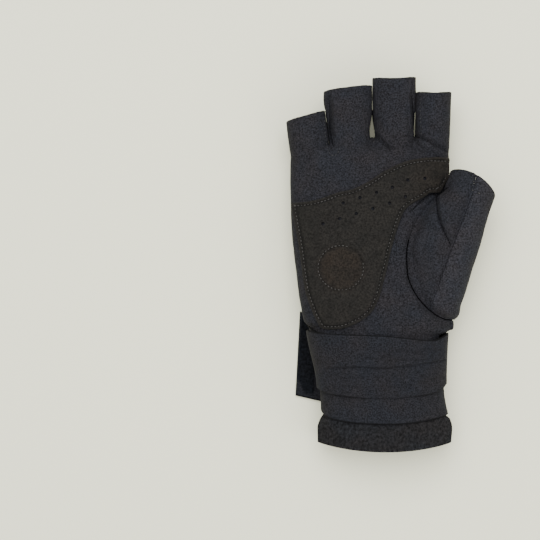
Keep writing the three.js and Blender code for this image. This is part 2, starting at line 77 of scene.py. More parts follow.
PALM_WIDTH = 92.4
PALM_LENGTH = 104.0
PALM_HEIGHT = 30.0
WRIST_WIDTH = 68.4
WRIST_HEIGHT = 27.0
WRIST_SHIFT = 5.5
SLEEVE_LENGTH = 70.0
CUFF_SEAM = 8.0
FINGER_LENGTH = 41.5
FINGER_HEIGHT = 20.2
FINGER_LIFT = 7.2
OPENING_SLOPE = 0.16
THUMB_SLOPE = 0.27
RIM_HEIGHTS = (-60, 100)
THUMB_LENGTH = 83.5
THUMB_WIDTH = 28.4
THUMB_HEIGHT = 23.5
THUMB_LEAN = math.radians(16)
THUMB_ROOT = np.array([0.39 * PALM_WIDTH, 0.038 * PALM_LENGTH])
THUMB_SKEW = -0.23
BACK_SEAM = 47.0
FOURCHETTE = 13.0
WRAP_WIDTH = 50.0
WRAP_PITCH = 1.8
WRAP_STACK = 3 * WRAP_PITCH
WRAP_NEAR = 0.3
CROTCH = 1.04 * PALM_LENGTH
STALL_ROOT = 0.83 * PALM_LENGTH
WEB_START = 0.985 * PALM_LENGTH
THUMB_CROTCH = 0.755 * PALM_LENGTH
THUMB_SPLIT = 0.6 * PALM_HEIGHT
BODY_MIDDLE = 0.45
BODY_CROWN = 2.2
BODY_FLAT = 3.0
BODY_PRESS = 1.08
RIM_BOW = 4.9
FAR = 260.0

# Last y at which the palm's own section is followed; the fingers' steps begin beyond it
KNUCKLES = 96
RAY_HEIGHT = 80.0

# Where the netting begins under the cloth, and its thickness
NET_DEPTH = 0.3
NET_THICK = 1.1

# How far the stalls are moved apart for the melting, and how far they run past their rims
SPREAD = 4.0
PAST_RIM = 11.0

# Size of the melting's voxels, what it takes off the form, and the least height over the floor
VOXEL = 0.8
MELT_LOSS = 0.2
FLOOR_GAP = 0.1

# Side of the little finger, and the way from the wrist seam's middle to the frame's origin
LITTLE_EDGE = 0.524 * PALM_WIDTH
SHIFT = np.array([
    CAD_BOX[0].x / MM + LITTLE_EDGE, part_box("knit_cuff")[1].y / MM + CUFF_SEAM, CAD_BOX[0].z / MM,
])


def table(keys, rows):
    """Rows of numbers as dictionaries with the same keys."""
    return [dict(zip(keys.split(), row)) for row in rows]


# Sleeve and palm sections. along: y as a share of the sleeve or the palm; left, right: shares
# of the width; base: share of the wrap's stack; top: share of the height
SLEEVE_ROWS = table("along left right base top", [
    (1, 0.52, 0.612, 0.5, 1.02), (0.87, 0.522, 0.62, 0.5, 1.04), (0.77, 0.497, 0.6, 0.7, 1.03),
    (0.7, 0.468, 0.536, 1, 1), (0.45, 0.48, 0.497, 1, 1), (0.026, 0.566, 0.512, 1, 1.05),
])
PALM_ROWS = table("along left right base top", [
    (-0.0125, 0.36, 0.4965, 1, 1.125), (0.0094, 0.361, 0.506, 1, 1.125),
    (0.045, 0.411, 0.518, 1, 1.13), (0.1, 0.425, 0.503, 1, 1.16), (0.183, 0.44, 0.503, 0.82, 1.17),
    (0.3, 0.456, 0.5, 0.48, 1.13), (0.433, 0.474, 0.498, 0.12, 1.07),
    (0.577, 0.489, 0.498, 0, 1.02), (0.72, 0.496, 0.498, 0, 0.97),
    (0.865, 0.498, 0.499, 0.22, 0.92), (0.95, 0.498, 0.499, 0.55, 0.88),
    (1, 0.49, 0.49, 1.05, 0.82), (1.03, 0.465, 0.465, 1.75, 0.7),
])

# Finger stalls. left, right: shares of the palm's width at the root, the crotch and the rim;
# reach: rim's distance past the crotch as a share of the finger length; skew: the rim's slope;
# bow: how much further the rim's middle reaches, in millimetres; waist: edges between the
# crotch and the rim, as height in millimetres, left and right; past: the same beyond the rim
FINGERS = [
    {
        "name": "little", "reach": 0.47, "skew": 0.28, "bow": -1.0,
        "left": (-0.47, -0.508, -0.524), "right": (-0.256, -0.258, -0.281),
        "past": [(133, -0.53, -0.2935)],
    },
    {
        "name": "ring", "reach": 0.848, "skew": 0.12, "bow": -0.4,
        "left": (-0.25, -0.253, -0.29), "right": (0.013, 0.003, 0.0135),
        "waist": [(115, -0.262, -0.002), (126.4, -0.2765, 0.0165), (132, -0.2885, 0.015)],
    },
    {
        "name": "middle", "reach": 1.0, "skew": 0.02, "bow": -1.6,
        "left": (0.022, 0.034, 0.0142), "right": (0.273, 0.275, 0.2865),
        "waist": [(115, 0.0345, 0.278), (126.4, 0.0185, 0.2835), (134, 0.0165, 0.2855)],
    },
    {
        "name": "index", "reach": 0.8, "skew": 0.0, "bow": -1.6,
        "left": (0.286, 0.288, 0.2905), "right": (0.475, 0.501, 0.51),
    },
]

# How far up each crotch is filled by a web, in millimetres
WEB_ENDS = (107.0, 111.8, 112.6)

# Thumb sections along its axis, in shares of its length, width and height
THUMB_ROWS = table("along left right base top", [
    (0, 0.14, 0.28, 0.45, 1.05), (0.1, 0.32, 0.42, 0.35, 1.32), (0.2, 0.54, 0.46, 0.3, 1.5),
    (0.33, 0.74, 0.47, 0.26, 1.59), (0.48, 0.86, 0.48, 0.27, 1.62),
    (0.62, 0.85, 0.492, 0.34, 1.62), (0.74, 0.73, 0.49, 0.42, 1.6), (0.85, 0.58, 0.486, 0.5, 1.58),
    (0.9, 0.53, 0.49, 0.53, 1.58), (1, 0.5, 0.5, 0.6, 1.6),
])

# Seams as shares of the palm's width and length
THUMB_SEAM_PALM = [
    (0.62, 0.05), (0.5, 0.06), (0.465, 0.064), (0.409, 0.089), (0.353, 0.128), (0.294, 0.187),
    (0.254, 0.251), (0.234, 0.307), (0.228, 0.396), (0.235, 0.474), (0.265, 0.569),
    (0.34, 0.675), (0.416, 0.741), (0.5, 0.76), (0.9, 0.76),
]
THUMB_SEAM_BACK = [
    (0.62, 0.05), (0.53, 0.06), (0.455, 0.135), (0.444, 0.277), (0.478, 0.477), (0.492, 0.638),
    (0.493, 0.76), (0.9, 0.76),
]
THUMB_PANEL_LINE = [
    (0.38, -0.1), (0.371, 0.152), (0.386, 0.192), (0.4525, 0.35), (0.4965, 0.462), (0.553, 0.6),
    (0.608, 0.733), (0.655, 0.86), (0.76, 1.2),
]
PATCH_OUTLINE = [
    [
        (-0.489, 0.708), (-0.34, 0.722), (-0.204, 0.764), (-0.11, 0.783), (-0.009, 0.827),
        (0.085, 0.881), (0.22, 0.937), (0.38, 0.962), (0.4935, 0.962),
    ],
    [(0.4935, 0.962), (0.4935, 0.85)],
    [
        (0.4935, 0.85), (0.441, 0.776), (0.372, 0.764), (0.329, 0.738), (0.236, 0.686),
        (0.193, 0.63), (0.135, 0.474), (0.091, 0.312), (0.043, 0.167), (-0.024, 0.078),
        (-0.15, 0.017), (-0.252, 0.004),
    ],
    [(-0.252, 0.004), (-0.307, 0.018), (-0.354, 0.089)],
    [(-0.354, 0.089), (-0.404, 0.226), (-0.441, 0.463), (-0.482, 0.669), (-0.489, 0.708)],
]
HOLE_ROWS = [
    [(0.341, 0.843), (0.233, 0.834), (0.139, 0.794), (-0.17, 0.706)],
    [(0.218, 0.741), (0.116, 0.704), (-0.092, 0.646), (-0.297, 0.591)],
]
HOLES_IN_ROW = 6
CUT_OUTLINE = [
    [
        (-0.32, 0.05), (-0.32, 0.076), (-0.264, 0.131), (-0.201, 0.17), (-0.122, 0.198),
        (-0.061, 0.2), (0.018, 0.185), (0.09, 0.151), (0.1, 0.12),
    ],
    [(0.1, 0.12), (-0.32, 0.05)],
]

# Wrist wrap. turn: turns from the thumb side, first over the back; layer: wraps under it;
# top, bottom: y of its edges as shares of the wrap's width
WRAP_ROWS = table("turn layer top bottom", [
    (0.08, 0, 0.54, -0.2), (0.14, 0, 0.44, -0.3), (0.25, 0, 0.28, -0.5), (0.4, 0, 0.14, -0.78),
    (0.5, 0, 0.04, -0.93), (0.6, 0, -0.04, -1.03), (0.75, 0, -0.16, -1.08), (0.9, 0, -0.12, -1.02),
    (1, 1, -0.06, -0.98), (1.12, 1, -0.04, -0.97), (1.25, 1, 0, -0.96), (1.5, 1, 0, -0.68),
    (1.6, 1, -0.03, -0.74), (1.75, 1, -0.055, -0.78), (1.9, 1, -0.115, -0.73),
    (2, 2, -0.035, -0.63), (2.12, 2, -0.036, -0.88), (2.25, 2, 0.03, -0.97),
    (2.31, 2, 0.07, -0.93),
])


def smooth_at(rows, key, at, straight=()):
    """Every column of the rows at the given keys, on smooth curves that never overshoot."""
    ordered = sorted(rows, key=lambda row: row[key])
    xs = np.array([row[key] for row in ordered], float)
    at = np.asarray(at, float)
    step = np.diff(xs)
    i = np.clip(np.searchsorted(xs, at) - 1, 0, len(xs) - 2)
    t = np.clip((at - xs[i]) / step[i], 0, 1)
    found = {}
    for name in ordered[0]:
        ys = np.array([row[name] for row in ordered], float)
        rise = np.diff(ys) / step
        if name in straight:
            found[name] = ys[i] + t * step[i] * rise[i]
            continue
        slope = np.zeros(len(xs))
        slope[0], slope[-1] = rise[0], rise[-1]
        product = rise[:-1] * rise[1:]
        total = np.where(product > 0, rise[:-1] + rise[1:], 1.0)
        slope[1:-1] = np.where(product > 0, 2 * product / total, 0)
        h = step[i]
        found[name] = (
            (2 * t**3 - 3 * t**2 + 1) * ys[i]
            + (t**3 - 2 * t**2 + t) * h * slope[i]
            + (3 * t**2 - 2 * t**3) * ys[i + 1]
            + (t**3 - t**2) * h * slope[i + 1]
        )
    return found


def bell(distance, width, middle=0.0):
    """1 at one distance, fading on both sides of it."""
    return np.exp(-(((distance - middle) / width) ** 2))


def ease(t):
    """0 to 1 with soft ends."""
    t = np.clip(t, 0, 1)
    return t * t * (3 - 2 * t)


def in_palm(points):
    """Shares of the palm's width and length in millimetres."""
    return np.array(points, float) * (PALM_WIDTH, PALM_LENGTH)


def spline(points, per_span):
    """A smooth curve through points, without its last point."""
    p = np.asarray(points, float)
    padded = np.vstack([2 * p[0] - p[1], p, 2 * p[-1] - p[-2]])
    t = np.linspace(0, 1, per_span, endpoint=False)[:, None]
    spans = []
    for i in range(len(p) - 1):
        a, b, c, d = padded[i : i + 4]
        spans.append(
            0.5 * (2 * b + (c - a) * t + (2 * a - 5 * b + 4 * c - d) * t**2
                   + (3 * b - a - 3 * c + d) * t**3)
        )
    return np.vstack(spans)


def whole_spline(points, per_span):
    """A smooth curve through points, with its last point."""
    return np.vstack([spline(points, per_span), points[-1:]])


def outline_of(runs, per_span=10):
    """A closed outline through runs of points, with a corner between two runs."""
    parts = []
    for run in runs:
        points = in_palm(run)
        count = per_span if len(run) > 2 else 16
        parts.append(spline(points, count))
    return np.vstack(parts)


def even(points, spacing, closed=False):
    """The same path with points a given distance apart."""
    p = np.asarray(points, float)
    if closed:
        p = np.vstack([p, p[:1]])
    run = np.concatenate([[0], np.cumsum(np.linalg.norm(np.diff(p, axis=0), axis=1))])
    count = max(2, int(round(run[-1] / spacing)) + 1)
    at = np.linspace(0, run[-1], count)
    out = np.stack([np.interp(at, run, p[:, k]) for k in range(p.shape[1])], axis=1)
    return out[:-1] if closed else out


def facing_left(loop):
    """True if a closed loop runs anticlockwise."""
    x, y = np.asarray(loop).T
    return np.sum(x * np.roll(y, -1) - np.roll(x, -1) * y) > 0


def grow_loop(loop, by):
    """A closed loop with its sides moved outwards; by may hold one distance for each point."""
    p = np.asarray(loop, float)
    if not facing_left(p):
        p = p[::-1]
        by = by if np.isscalar(by) else by[::-1]
    side = np.roll(p, -1, axis=0) - p
    normal = np.stack([side[:, 1], -side[:, 0]], axis=1)
    normal /= np.linalg.norm(normal, axis=1)[:, None] + 1e-12
    before = np.roll(normal, 1, axis=0)
    both = before + normal
    spread = 1 + np.sum(before * normal, axis=1)
    amount = np.broadcast_to(np.asarray(by, float), (len(p),))
    return p + both * (amount / np.maximum(spread, 0.35))[:, None]


def distance_to(path, x, y, closed=False):
    """Plan distance from each point to a path, and how far along the path it falls (0 to 1)."""
    p = np.asarray(path, float)
    ends = np.roll(p, -1, axis=0) if closed else p[1:]
    starts = p if closed else p[:-1]
    lengths = np.linalg.norm(ends - starts, axis=1)
    runs = np.concatenate([[0], np.cumsum(lengths)])
    best = np.full(np.shape(x), 1e9)
    where = np.zeros(np.shape(x))
    for a, b, size, run in zip(starts, ends, lengths, runs):
        d = b - a
        t = np.clip(((x - a[0]) * d[0] + (y - a[1]) * d[1]) / (size * size + 1e-12), 0, 1)
        far = np.hypot(x - a[0] - t * d[0], y - a[1] - t * d[1])
        nearer = far < best
        best = np.where(nearer, far, best)
        where = np.where(nearer, (run + t * size) / runs[-1], where)
    return best, where


def inside(loop, x, y):
    """True for each point that lies within a closed loop in plan."""
    hit = np.zeros(np.shape(x), bool)
    p = np.asarray(loop)
    for (ax, ay), (bx, by) in zip(p, np.roll(p, -1, axis=0)):
        if ay == by:
            continue
        crosses = (ay > y) != (by > y)
        hit ^= crosses & (x < (bx - ax) * (y - ay) / (by - ay) + ax)
    return hit


def body_rows():
    """Sections of the sleeve and the palm in millimetres."""
    rows = []
    for row in SLEEVE_ROWS:
        rows.append({
            "y": -row["along"] * SLEEVE_LENGTH,
            "left": WRIST_SHIFT - row["left"] * WRIST_WIDTH,
            "right": WRIST_SHIFT + row["right"] * WRIST_WIDTH,
            "base": row["base"] * WRAP_STACK,
            "top": WRAP_STACK + row["top"] * WRIST_HEIGHT,
        })
    for row in PALM_ROWS:
        rows.append({
            "y": row["along"] * PALM_LENGTH,
            "left": -row["left"] * PALM_WIDTH,
            "right": row["right"] * PALM_WIDTH,
            "base": row["base"] * WRAP_STACK,
            "top": row["top"] * PALM_HEIGHT,
        })
    return rows


BODY_ROWS = body_rows()


def oval(size, angle, crown, flat, middle, press):
    """Points x, z of filled sections at the given angles, from the right side over the top."""
    c, s = np.cos(angle), np.sin(angle)
    half = (size["right"] - size["left"]) / 2
    centre = (size["right"] + size["left"]) / 2
    mid = size["base"] + (size["top"] - size["base"]) * middle
    power = np.where(s < 0, 2 / flat, 2 / crown)
    rise = np.where(s < 0, (mid - size["base"]) * press, size["top"] - mid)
    x = centre + half * np.sign(c) * np.abs(c) ** power
    z = mid + rise * np.sign(s) * np.abs(s) ** power
    return x, np.maximum(z, size["base"])


def body_oval(y, angle):
    size = smooth_at(BODY_ROWS, "y", y)
    return oval(size, angle, BODY_CROWN, BODY_FLAT, BODY_MIDDLE, BODY_PRESS)


def stall_oval(size, angle, power=2.4):
    return oval(size, angle, power, power, 0.5, 1.0)


def pushed_out(section, angle, grow, step):
    """Points at an angle, moved out from a section that gives x and z for an angle."""
    x, z = section(angle)
    (x1, z1), (x2, z2) = section(angle - step), section(angle + step)
    dx, dz = x2 - x1, z2 - z1
    size = np.hypot(dx, dz) + 1e-9
    return x + grow * dz / size, z - grow * dx / size


def body_point(y, angle, grow):
    """Point of the sleeve at y and an angle, moved out from the surface by a distance."""
    return pushed_out(lambda at: body_oval(y, at), angle, grow, 0.02)


def seam_height(y):
    """Height of the side seam between the palm and the back."""
    size = smooth_at(BODY_ROWS, "y", np.minimum(y, PALM_LENGTH))
    low = size["base"] + (size["top"] - size["base"]) * BODY_MIDDLE
    middle = stall_size(FINGERS[2], np.maximum(y, PALM_LENGTH))
    high = (middle["base"] + middle["top"]) / 2
    return np.where(y > PALM_LENGTH, high, low)


def rim_of(finger):
    """Where a stall's rim lies along y."""
    return PALM_LENGTH + finger["reach"] * FINGER_LENGTH


def stall_size(finger, y):
    """Edges, foot and top of a finger stall's section at y."""
    spans = [*zip((STALL_ROOT, CROTCH, rim_of(finger)), finger["left"], finger["right"])]
    spans += finger.get("waist", []) + finger.get("past", [])
    rows = [
        {"y": place, "left": left * PALM_WIDTH, "right": right * PALM_WIDTH}
        for place, left, right in spans
    ]
    size = smooth_at(rows, "y", y)
    grown = np.clip((y - STALL_ROOT) / (CROTCH - STALL_ROOT), 0, 1)
    lift = np.maximum(0, y - CROTCH) / (PALM_LENGTH + FINGER_LENGTH - CROTCH)
    size["base"] = WRAP_STACK * (1.1 - 0.2 * grown) + lift * FINGER_LIFT
    size["top"] = size["base"] + FINGER_HEIGHT * (0.62 + 0.42 * grown - 0.12 * lift)
    return size


def ring_faces(count, sides, spans):
    """Faces between closed rings, over a number of spans from ring to ring."""
    i, j = np.meshgrid(np.arange(spans), np.arange(sides), indexing="ij")
    k, m = (j + 1) % sides, (i + 1) % count
    quads = np.stack([i * sides + j, m * sides + j, m * sides + k, i * sides + k], -1)
    return [tuple(face) for face in quads.reshape(-1, 4).tolist()]


def loft(rings):
    """Points and faces of a closed body through rings, with a point in the middle of each end."""
    rings = np.asarray(rings)
    count, sides = rings.shape[:2]
    points = rings.reshape(-1, 3)
    low, high = rings[0].mean(axis=0), rings[-1].mean(axis=0)
    faces = ring_faces(count, sides, count - 1)
    last = (count - 1) * sides
    for a in range(sides):
        b = (a + 1) % sides
        faces.append((count * sides, a, b))
        faces.append((count * sides + 1, last + b, last + a))
    return np.vstack([points, low, high]), faces


def mesh_from(points, faces):
    """A mesh in millimetres with its faces turned outwards."""
    mesh = bpy.data.meshes.new("work")
    mesh.from_pydata(np.asarray(points, float).tolist(), [], faces)
    bm = bmesh.new()
    bm.from_mesh(mesh)
    bmesh.ops.recalc_face_normals(bm, faces=bm.faces)
    bm.to_mesh(mesh)
    bm.free()
    return mesh


def read_out(items, name):
    """Vectors of a mesh's items as rows."""
    out = np.empty(len(items) * 3, np.float32)
    items.foreach_get(name, out)
    return out.reshape(-1, 3).astype(float)


def spots(mesh):
    return read_out(mesh.vertices, "co")


def bearings(mesh):
    return read_out(mesh.vertex_normals, "vector")


def moved(mesh, points):
    """The same mesh with its points in other places."""
    mesh.vertices.foreach_set("co", np.asarray(points, np.float32).ravel())
    mesh.update()
    return mesh


def linked(name, mesh):
    """A new object in the scene."""
    made = bpy.data.objects.new(name, mesh)
    bpy.context.scene.collection.objects.link(made)
    return made


def worked(mesh, *settings):
    """The mesh after modifiers, each given as its type and its values."""
    body = linked("work", mesh)
    helpers = []
    for kind, values in settings:
        modifier = body.modifiers.new(kind.lower(), kind)
        for key, value in values.items():
            if isinstance(value, bpy.types.Mesh):
                value = linked("helper", value)
                helpers.append(value)
            setattr(modifier, key, value)
    bpy.context.view_layer.update()
    made = bpy.data.meshes.new_from_object(
        body.evaluated_get(bpy.context.evaluated_depsgraph_get())
    )
    for item in [body, *helpers]:
        bpy.data.objects.remove(item)
    return made


def cut(mesh, other, how="DIFFERENCE"):
    """Boolean of two closed meshes."""
    made = worked(mesh, ("BOOLEAN", {"operation": how, "solver": "MANIFOLD", "object": other}))
    if not len(made.polygons):
        raise RuntimeError("a cut left nothing")
    return made


def common(mesh, other):
    """What two closed meshes share."""
    return cut(mesh, other, "INTERSECT")


def sunk(form, depth):
    """A copy of a form with its surface moved inwards."""
    return moved(form.copy(), spots(form) - bearings(form) * depth)


def joined(meshes):
    """Several meshes as one, loose beside each other."""
    bm = bmesh.new()
    for mesh in meshes:
        bm.from_mesh(mesh)
    made = bpy.data.meshes.new("work")
    bm.to_mesh(made)
    bm.free()
    return made


def prism(outline, low, high, shear=0.0, middle=0.0):
    """Upright prism over an outline, leaning along y by the shear for each unit of height."""
    loop = np.asarray(outline, float)
    if not facing_left(loop):
        loop = loop[::-1]
    count = len(loop)
    points = []
    for z in (low, high):
        y = loop[:, 1] + shear * (z - middle)
        points.append(np.stack([loop[:, 0], y, np.full(count, z)], axis=1))
    faces = [tuple(range(count - 1, -1, -1)), tuple(range(count, 2 * count))]
    for a in range(count):
        b = (a + 1) % count
        faces.append((a, b, count + b, count + a))
    return mesh_from(np.vstack(points), faces)


def cross_prism(outline, left, right):
    """Prism across the glove over an outline of y, z points."""
    loop = np.asarray(outline, float)
    count = len(loop)
    points = [np.insert(loop, 0, x, axis=1) for x in (left, right)]
    faces = [tuple(range(count)), tuple(range(2 * count - 1, count - 1, -1))]
    for a in range(count):
        b = (a + 1) % count
        faces.append((a, count + a, count + b, b))
    return mesh_from(np.vstack(points), faces)


def slab(near, far):
    """Everything between two values of y."""
    return prism([(-FAR, near), (FAR, near), (FAR, far), (-FAR, far)], -FAR, FAR)


def round_angles(count):
    return np.linspace(0, 2 * np.pi, count, endpoint=False)[None, :]


def tube(x, y, z):
    """Body through rings whose y is the same all round."""
    return loft(np.stack([x, np.broadcast_to(y, x.shape), z], axis=-1))


def body_form():
    """The sleeve's end and the palm, up to the roots of the stalls."""
    palm = np.linspace(-24, KNUCKLES, 81)
    y = np.concatenate([palm, np.linspace(KNUCKLES + 1, 107.1, 14)])[:, None]
    x, z = body_oval(y, round_angles(120))
    return tube(x, y, z)


def stall_form(finger):
    """A finger stall from its root to past its rim."""
    y = np.linspace(STALL_ROOT, rim_of(finger) + PAST_RIM, 40)[:, None]
    x, z = stall_oval(stall_size(finger, y), round_angles(72))
    return tube(x, y, z)


def thumb_place(s, u):
    """Plan position of a distance along the thumb's axis and one across it."""
    sin, cos = math.sin(THUMB_LEAN), math.cos(THUMB_LEAN)
    return THUMB_ROOT[0] + sin * s + cos * u, THUMB_ROOT[1] + cos * s - sin * u


def thumb_form(grow=0.0, start=0.0, past=14.0):
    """The thumb, moved out by a distance, from a start on its axis to past its rim."""
    s = np.linspace(start, THUMB_LENGTH + past, 60)[:, None]
    rows = smooth_at(THUMB_ROWS, "along", s / THUMB_LENGTH)
    size = {
        "left": -rows["left"] * THUMB_WIDTH - grow,
        "right": rows["right"] * THUMB_WIDTH + grow,
        "base": rows["base"] * THUMB_HEIGHT - grow,
        "top": rows["top"] * THUMB_HEIGHT + grow,
    }
    u, z = stall_oval(size, round_angles(84), 2.3)
    x, y = thumb_place(s, u)
    return loft(np.stack([x, y, z], axis=-1))


def finger_gaps(y):
    """Middle and width of the gap between each two stalls at y."""
    gaps = []
    for near, far in zip(FINGERS, FINGERS[1:]):
        right = stall_size(near, y)["right"]
        left = stall_size(far, y)["left"]
        gaps.append(((left + right) / 2, np.maximum(left - right, 0.2)))
    return gaps


def spread_fingers(points, back=False):
    """Moves the stalls apart while they are melted into the palm, and back together."""
    x, y = points[:, 0].copy(), points[:, 1]
    amount = SPREAD * ease((y - 88) / 16)
    for middle, width in finger_gaps(y):
        start = middle - width / 2
        if back:
            x = x - amount * np.clip((x - start) / (width + amount), 0, 1)
        else:
            x = x + amount * np.clip((points[:, 0] - start) / width, 0, 1)
    return np.stack([x, y, points[:, 2]], axis=1)


def web_form(gap):
    """Rounded filling of a crotch between two fingers."""
    size = stall_size(FINGERS[gap], CROTCH)
    x = (size["right"] + stall_size(FINGERS[gap + 1], CROTCH)["left"]) / 2
    z = (size["base"] + size["top"]) / 2
    start = PALM_LENGTH - 8
    polar = np.linspace(0.02, np.pi - 0.02, 26)[:, None]
    angle = round_angles(32)
    ring = np.sin(polar)
    y = start - (WEB_ENDS[gap] - start) * np.cos(polar)
    across, deep = 5.0, 7.6
    return tube(x + across * ring * np.cos(angle), y, z + deep * ring * np.sin(angle))


def filled_glove():
    """The hand of the glove as one smooth filled form that runs on past its openings."""
    parts = [body_form(), thumb_form()] + [stall_form(finger) for finger in FINGERS]
    parts += [web_form(gap) for gap in range(len(WEB_ENDS))]
    meshes = [mesh_from(spread_fingers(points), faces) for points, faces in parts]
    meshes = [moved(mesh, spots(mesh) + bearings(mesh) * MELT_LOSS) for mesh in meshes]
    form = worked(joined(meshes), ("REMESH", {"mode": "VOXEL", "voxel_size": VOXEL}))
    form = worked(form, ("SMOOTH", {"factor": 0.5, "iterations": 7}))
    return moved(form, spread_fingers(spots(form), back=True))


def wandering(points, size, seed):
    """Soft random heights from -1 to 1 for each point."""
    offset = Vector((seed * 17.3, seed * 5.1, seed * 9.7))
    return np.array([noise.noise(Vector(p) / size + offset) for p in points])


# Folds and dents on the palm side. path, depth and width in millimetres; the depth is how far
# the line is pressed in
PALM_FOLDS = table("path depth width", [
    ([(3.6, 112.5), (6.9, 108.6), (10.2, 105.5), (12.8, 103.2)], 1.7, 1.2),
    ([(27.0, 112.0), (33.3, 109.0), (39.7, 105.5), (46.4, 102.6)], 1.5, 1.2),
    ([(-23.6, 133), (-23.1, 124), (-22.9, 115), (-21.2, 106)], 1.3, 1.2),
    ([(24.0, 136), (24.6, 128.6), (25.4, 122), (26.2, 112)], 1.2, 1.0),
])

# Black fold at the foot of the thumb stall, in millimetres
THUMB_FOLD = [
    (42.6, 81.8), (39.9, 79.6), (38.8, 76.6), (38.2, 70.2), (39.2, 63.8), (41.8, 56.8), (45.9, 48.4),
]

# Black fold between the patch's lower edge and the thumb, in millimetres
PATCH_FOLD = [
    (45.0, 82.4), (40.5, 79.9), (34.9, 78.3), (30.8, 75.6), (26.9, 72.1), (24.0, 69.0),
]

# Seam between the thumb's panels, in millimetres
PANEL_FOLD = [(35.5, 17.0), (41.8, 35.0), (45.9, 46.2), (51.1, 60.0), (56.2, 73.3), (60.5, 86.0)]

# Deep narrow folds, cut into the cloth as slits. width and depth in millimetres
SLITS = table("path width depth", [
    (THUMB_FOLD, 0.7, 1.3), (PATCH_FOLD, 1.1, 1.3), (PANEL_FOLD, 0.5, 0.7),
    (PALM_FOLDS[2]["path"], 0.9, 1.1), (PALM_FOLDS[3]["path"], 0.8, 1.1),
    (PALM_FOLDS[0]["path"], 0.35, 0.6), (PALM_FOLDS[1]["path"], 0.3, 0.6),
])

# Grooves pressed in along seams and folds, with a swelling of the cloth beside each, in
# millimetres. beside: how far from the line the swelling is highest
GROOVES = {
    "thumb_seam": {"depth": 1.3, "width": 1.2, "rise": 1.5, "spread": 3.4, "beside": 5.0},
    "thumb_fold": {"depth": 1.6, "width": 1.0, "rise": 1.2, "spread": 1.8, "beside": 2.2},
    "patch_fold": {"depth": 0.9, "width": 1.2, "rise": 0.0, "spread": 1.0, "beside": 0.0},
    "panel_line": {"depth": 0.7, "width": 0.8, "rise": 0.35, "spread": 1.2, "beside": 1.9},
    "side_seam": {"depth": 0.35, "width": 0.8, "rise": 0.0, "spread": 1.0, "beside": 0.0},
    "back_seam": {"depth": 0.3, "width": 0.9, "rise": 0.0, "spread": 1.0, "beside": 0.0},
}


def slit(fold, form):
    """Narrow wedge along a fold, down to its depth under the surface."""
    path = even(whole_spline(fold["path"], 10), 0.5)
    way = np.gradient(path, axis=0)
    side = np.stack([-way[:, 1], way[:, 0]], axis=1)
    side /= np.linalg.norm(side, axis=1)[:, None] + 1e-9
    half = fold["width"] / 2 * np.sin(np.pi * np.linspace(0.02, 0.98, len(path)))[:, None] ** 0.5
    loop = np.vstack([path - side * half, (path + side * half)[::-1]])
    return cut(prism(loop, THUMB_SPLIT, FAR), sunk(form, fold["depth"]))


def groove(far, size, risen=1.0):
    """Push of a groove at a distance from its line, with the swelling beside it."""
    swelling = risen * size["rise"] * bell(far, size["spread"], size["beside"])
    return swelling - size["depth"] * bell(far, size["width"])


def shaped_glove(form):
    """Presses the seams and folds into the filled form and lets the cloth wander a little."""
    p, n = spots(form), bearings(form)
    x, y, z = p.T
    above = z - seam_height(y)
    top = ease((above + 1.0) / 2.0)
    far, _ = distance_to(spline(in_palm(THUMB_SEAM_PALM[1:-1]), 6), x, y)
    on_thumb = inside(in_palm(THUMB_SEAM_PALM), x, y) | (x > 46.5)
    strong = 1 - 0.8 * ease((y - 50) / 12)
    push = strong * groove(far, GROOVES["thumb_seam"], on_thumb)
    far, where = distance_to(spline(THUMB_FOLD, 8), x, y)
    fade = ease(where / 0.08) * (1 - 0.8 * ease((where - 0.7) / 0.3))
    beside = np.array(THUMB_FOLD[2:][::-1])
    right_of = x > np.interp(y, beside[:, 1], beside[:, 0])
    push += fade * groove(far, GROOVES["thumb_fold"], right_of)
    far, where = distance_to(spline(PATCH_FOLD, 8), x, y)
    push += (1 - ease((where - 0.5) / 0.5)) * groove(far, GROOVES["patch_fold"])
    for fold in PALM_FOLDS:
        far, where = distance_to(spline(fold["path"], 6), x, y)
        fade = np.sin(np.pi * np.clip(where * 0.85 + 0.15, 0, 1)) ** 0.6
        size = {"rise": 0.35 * fold["depth"], "spread": 1.5, "beside": 2.6, **fold}
        push += fade * groove(far, size)
    far, _ = distance_to(in_palm(THUMB_PANEL_LINE), x, y)
    push += on_thumb * groove(far, GROOVES["panel_line"], y > 50)
    push *= top
    push += groove(above, GROOVES["side_seam"]) * (y < KNUCKLES)
    push += (1 - top) * groove(y - BACK_SEAM, GROOVES["back_seam"])
    push += 0.35 * wandering(p, 17.0, 1) + 0.15 * wandering(p, 6.0, 2)
    pressed = p + n * push[:, None]
    pressed[:, 2] = np.maximum(pressed[:, 2], FLOOR_GAP)
    return moved(form, pressed)


def thumb_space(grow):
    """Space of the thumb within its seams, and round its own stall above the crotch.

    The gap is narrower beside the thumb's fold, where a slit already parts the cloth.
    """
    palm_loop = whole_spline(in_palm(THUMB_SEAM_PALM), 8)
    soft = np.where((palm_loop[:, 1] > 52) & (palm_loop[:, 0] < 46), 0.12, 1.0) if grow else 1.0
    back_loop = whole_spline(in_palm(THUMB_SEAM_BACK), 8)
    palm_part = prism(grow_loop(palm_loop, grow * soft), THUMB_SPLIT - grow, FAR)
    back_part = prism(grow_loop(back_loop, grow * 0.5), -FAR, THUMB_SPLIT + grow * 0.5)
    stall = mesh_from(*thumb_form(0.7 + grow, 0.4 * THUMB_LENGTH, 30.0))
    stall = common(stall, slab(THUMB_CROTCH - grow, FAR))
    return cut(cut(palm_part, back_part, "UNION"), stall, "UNION")


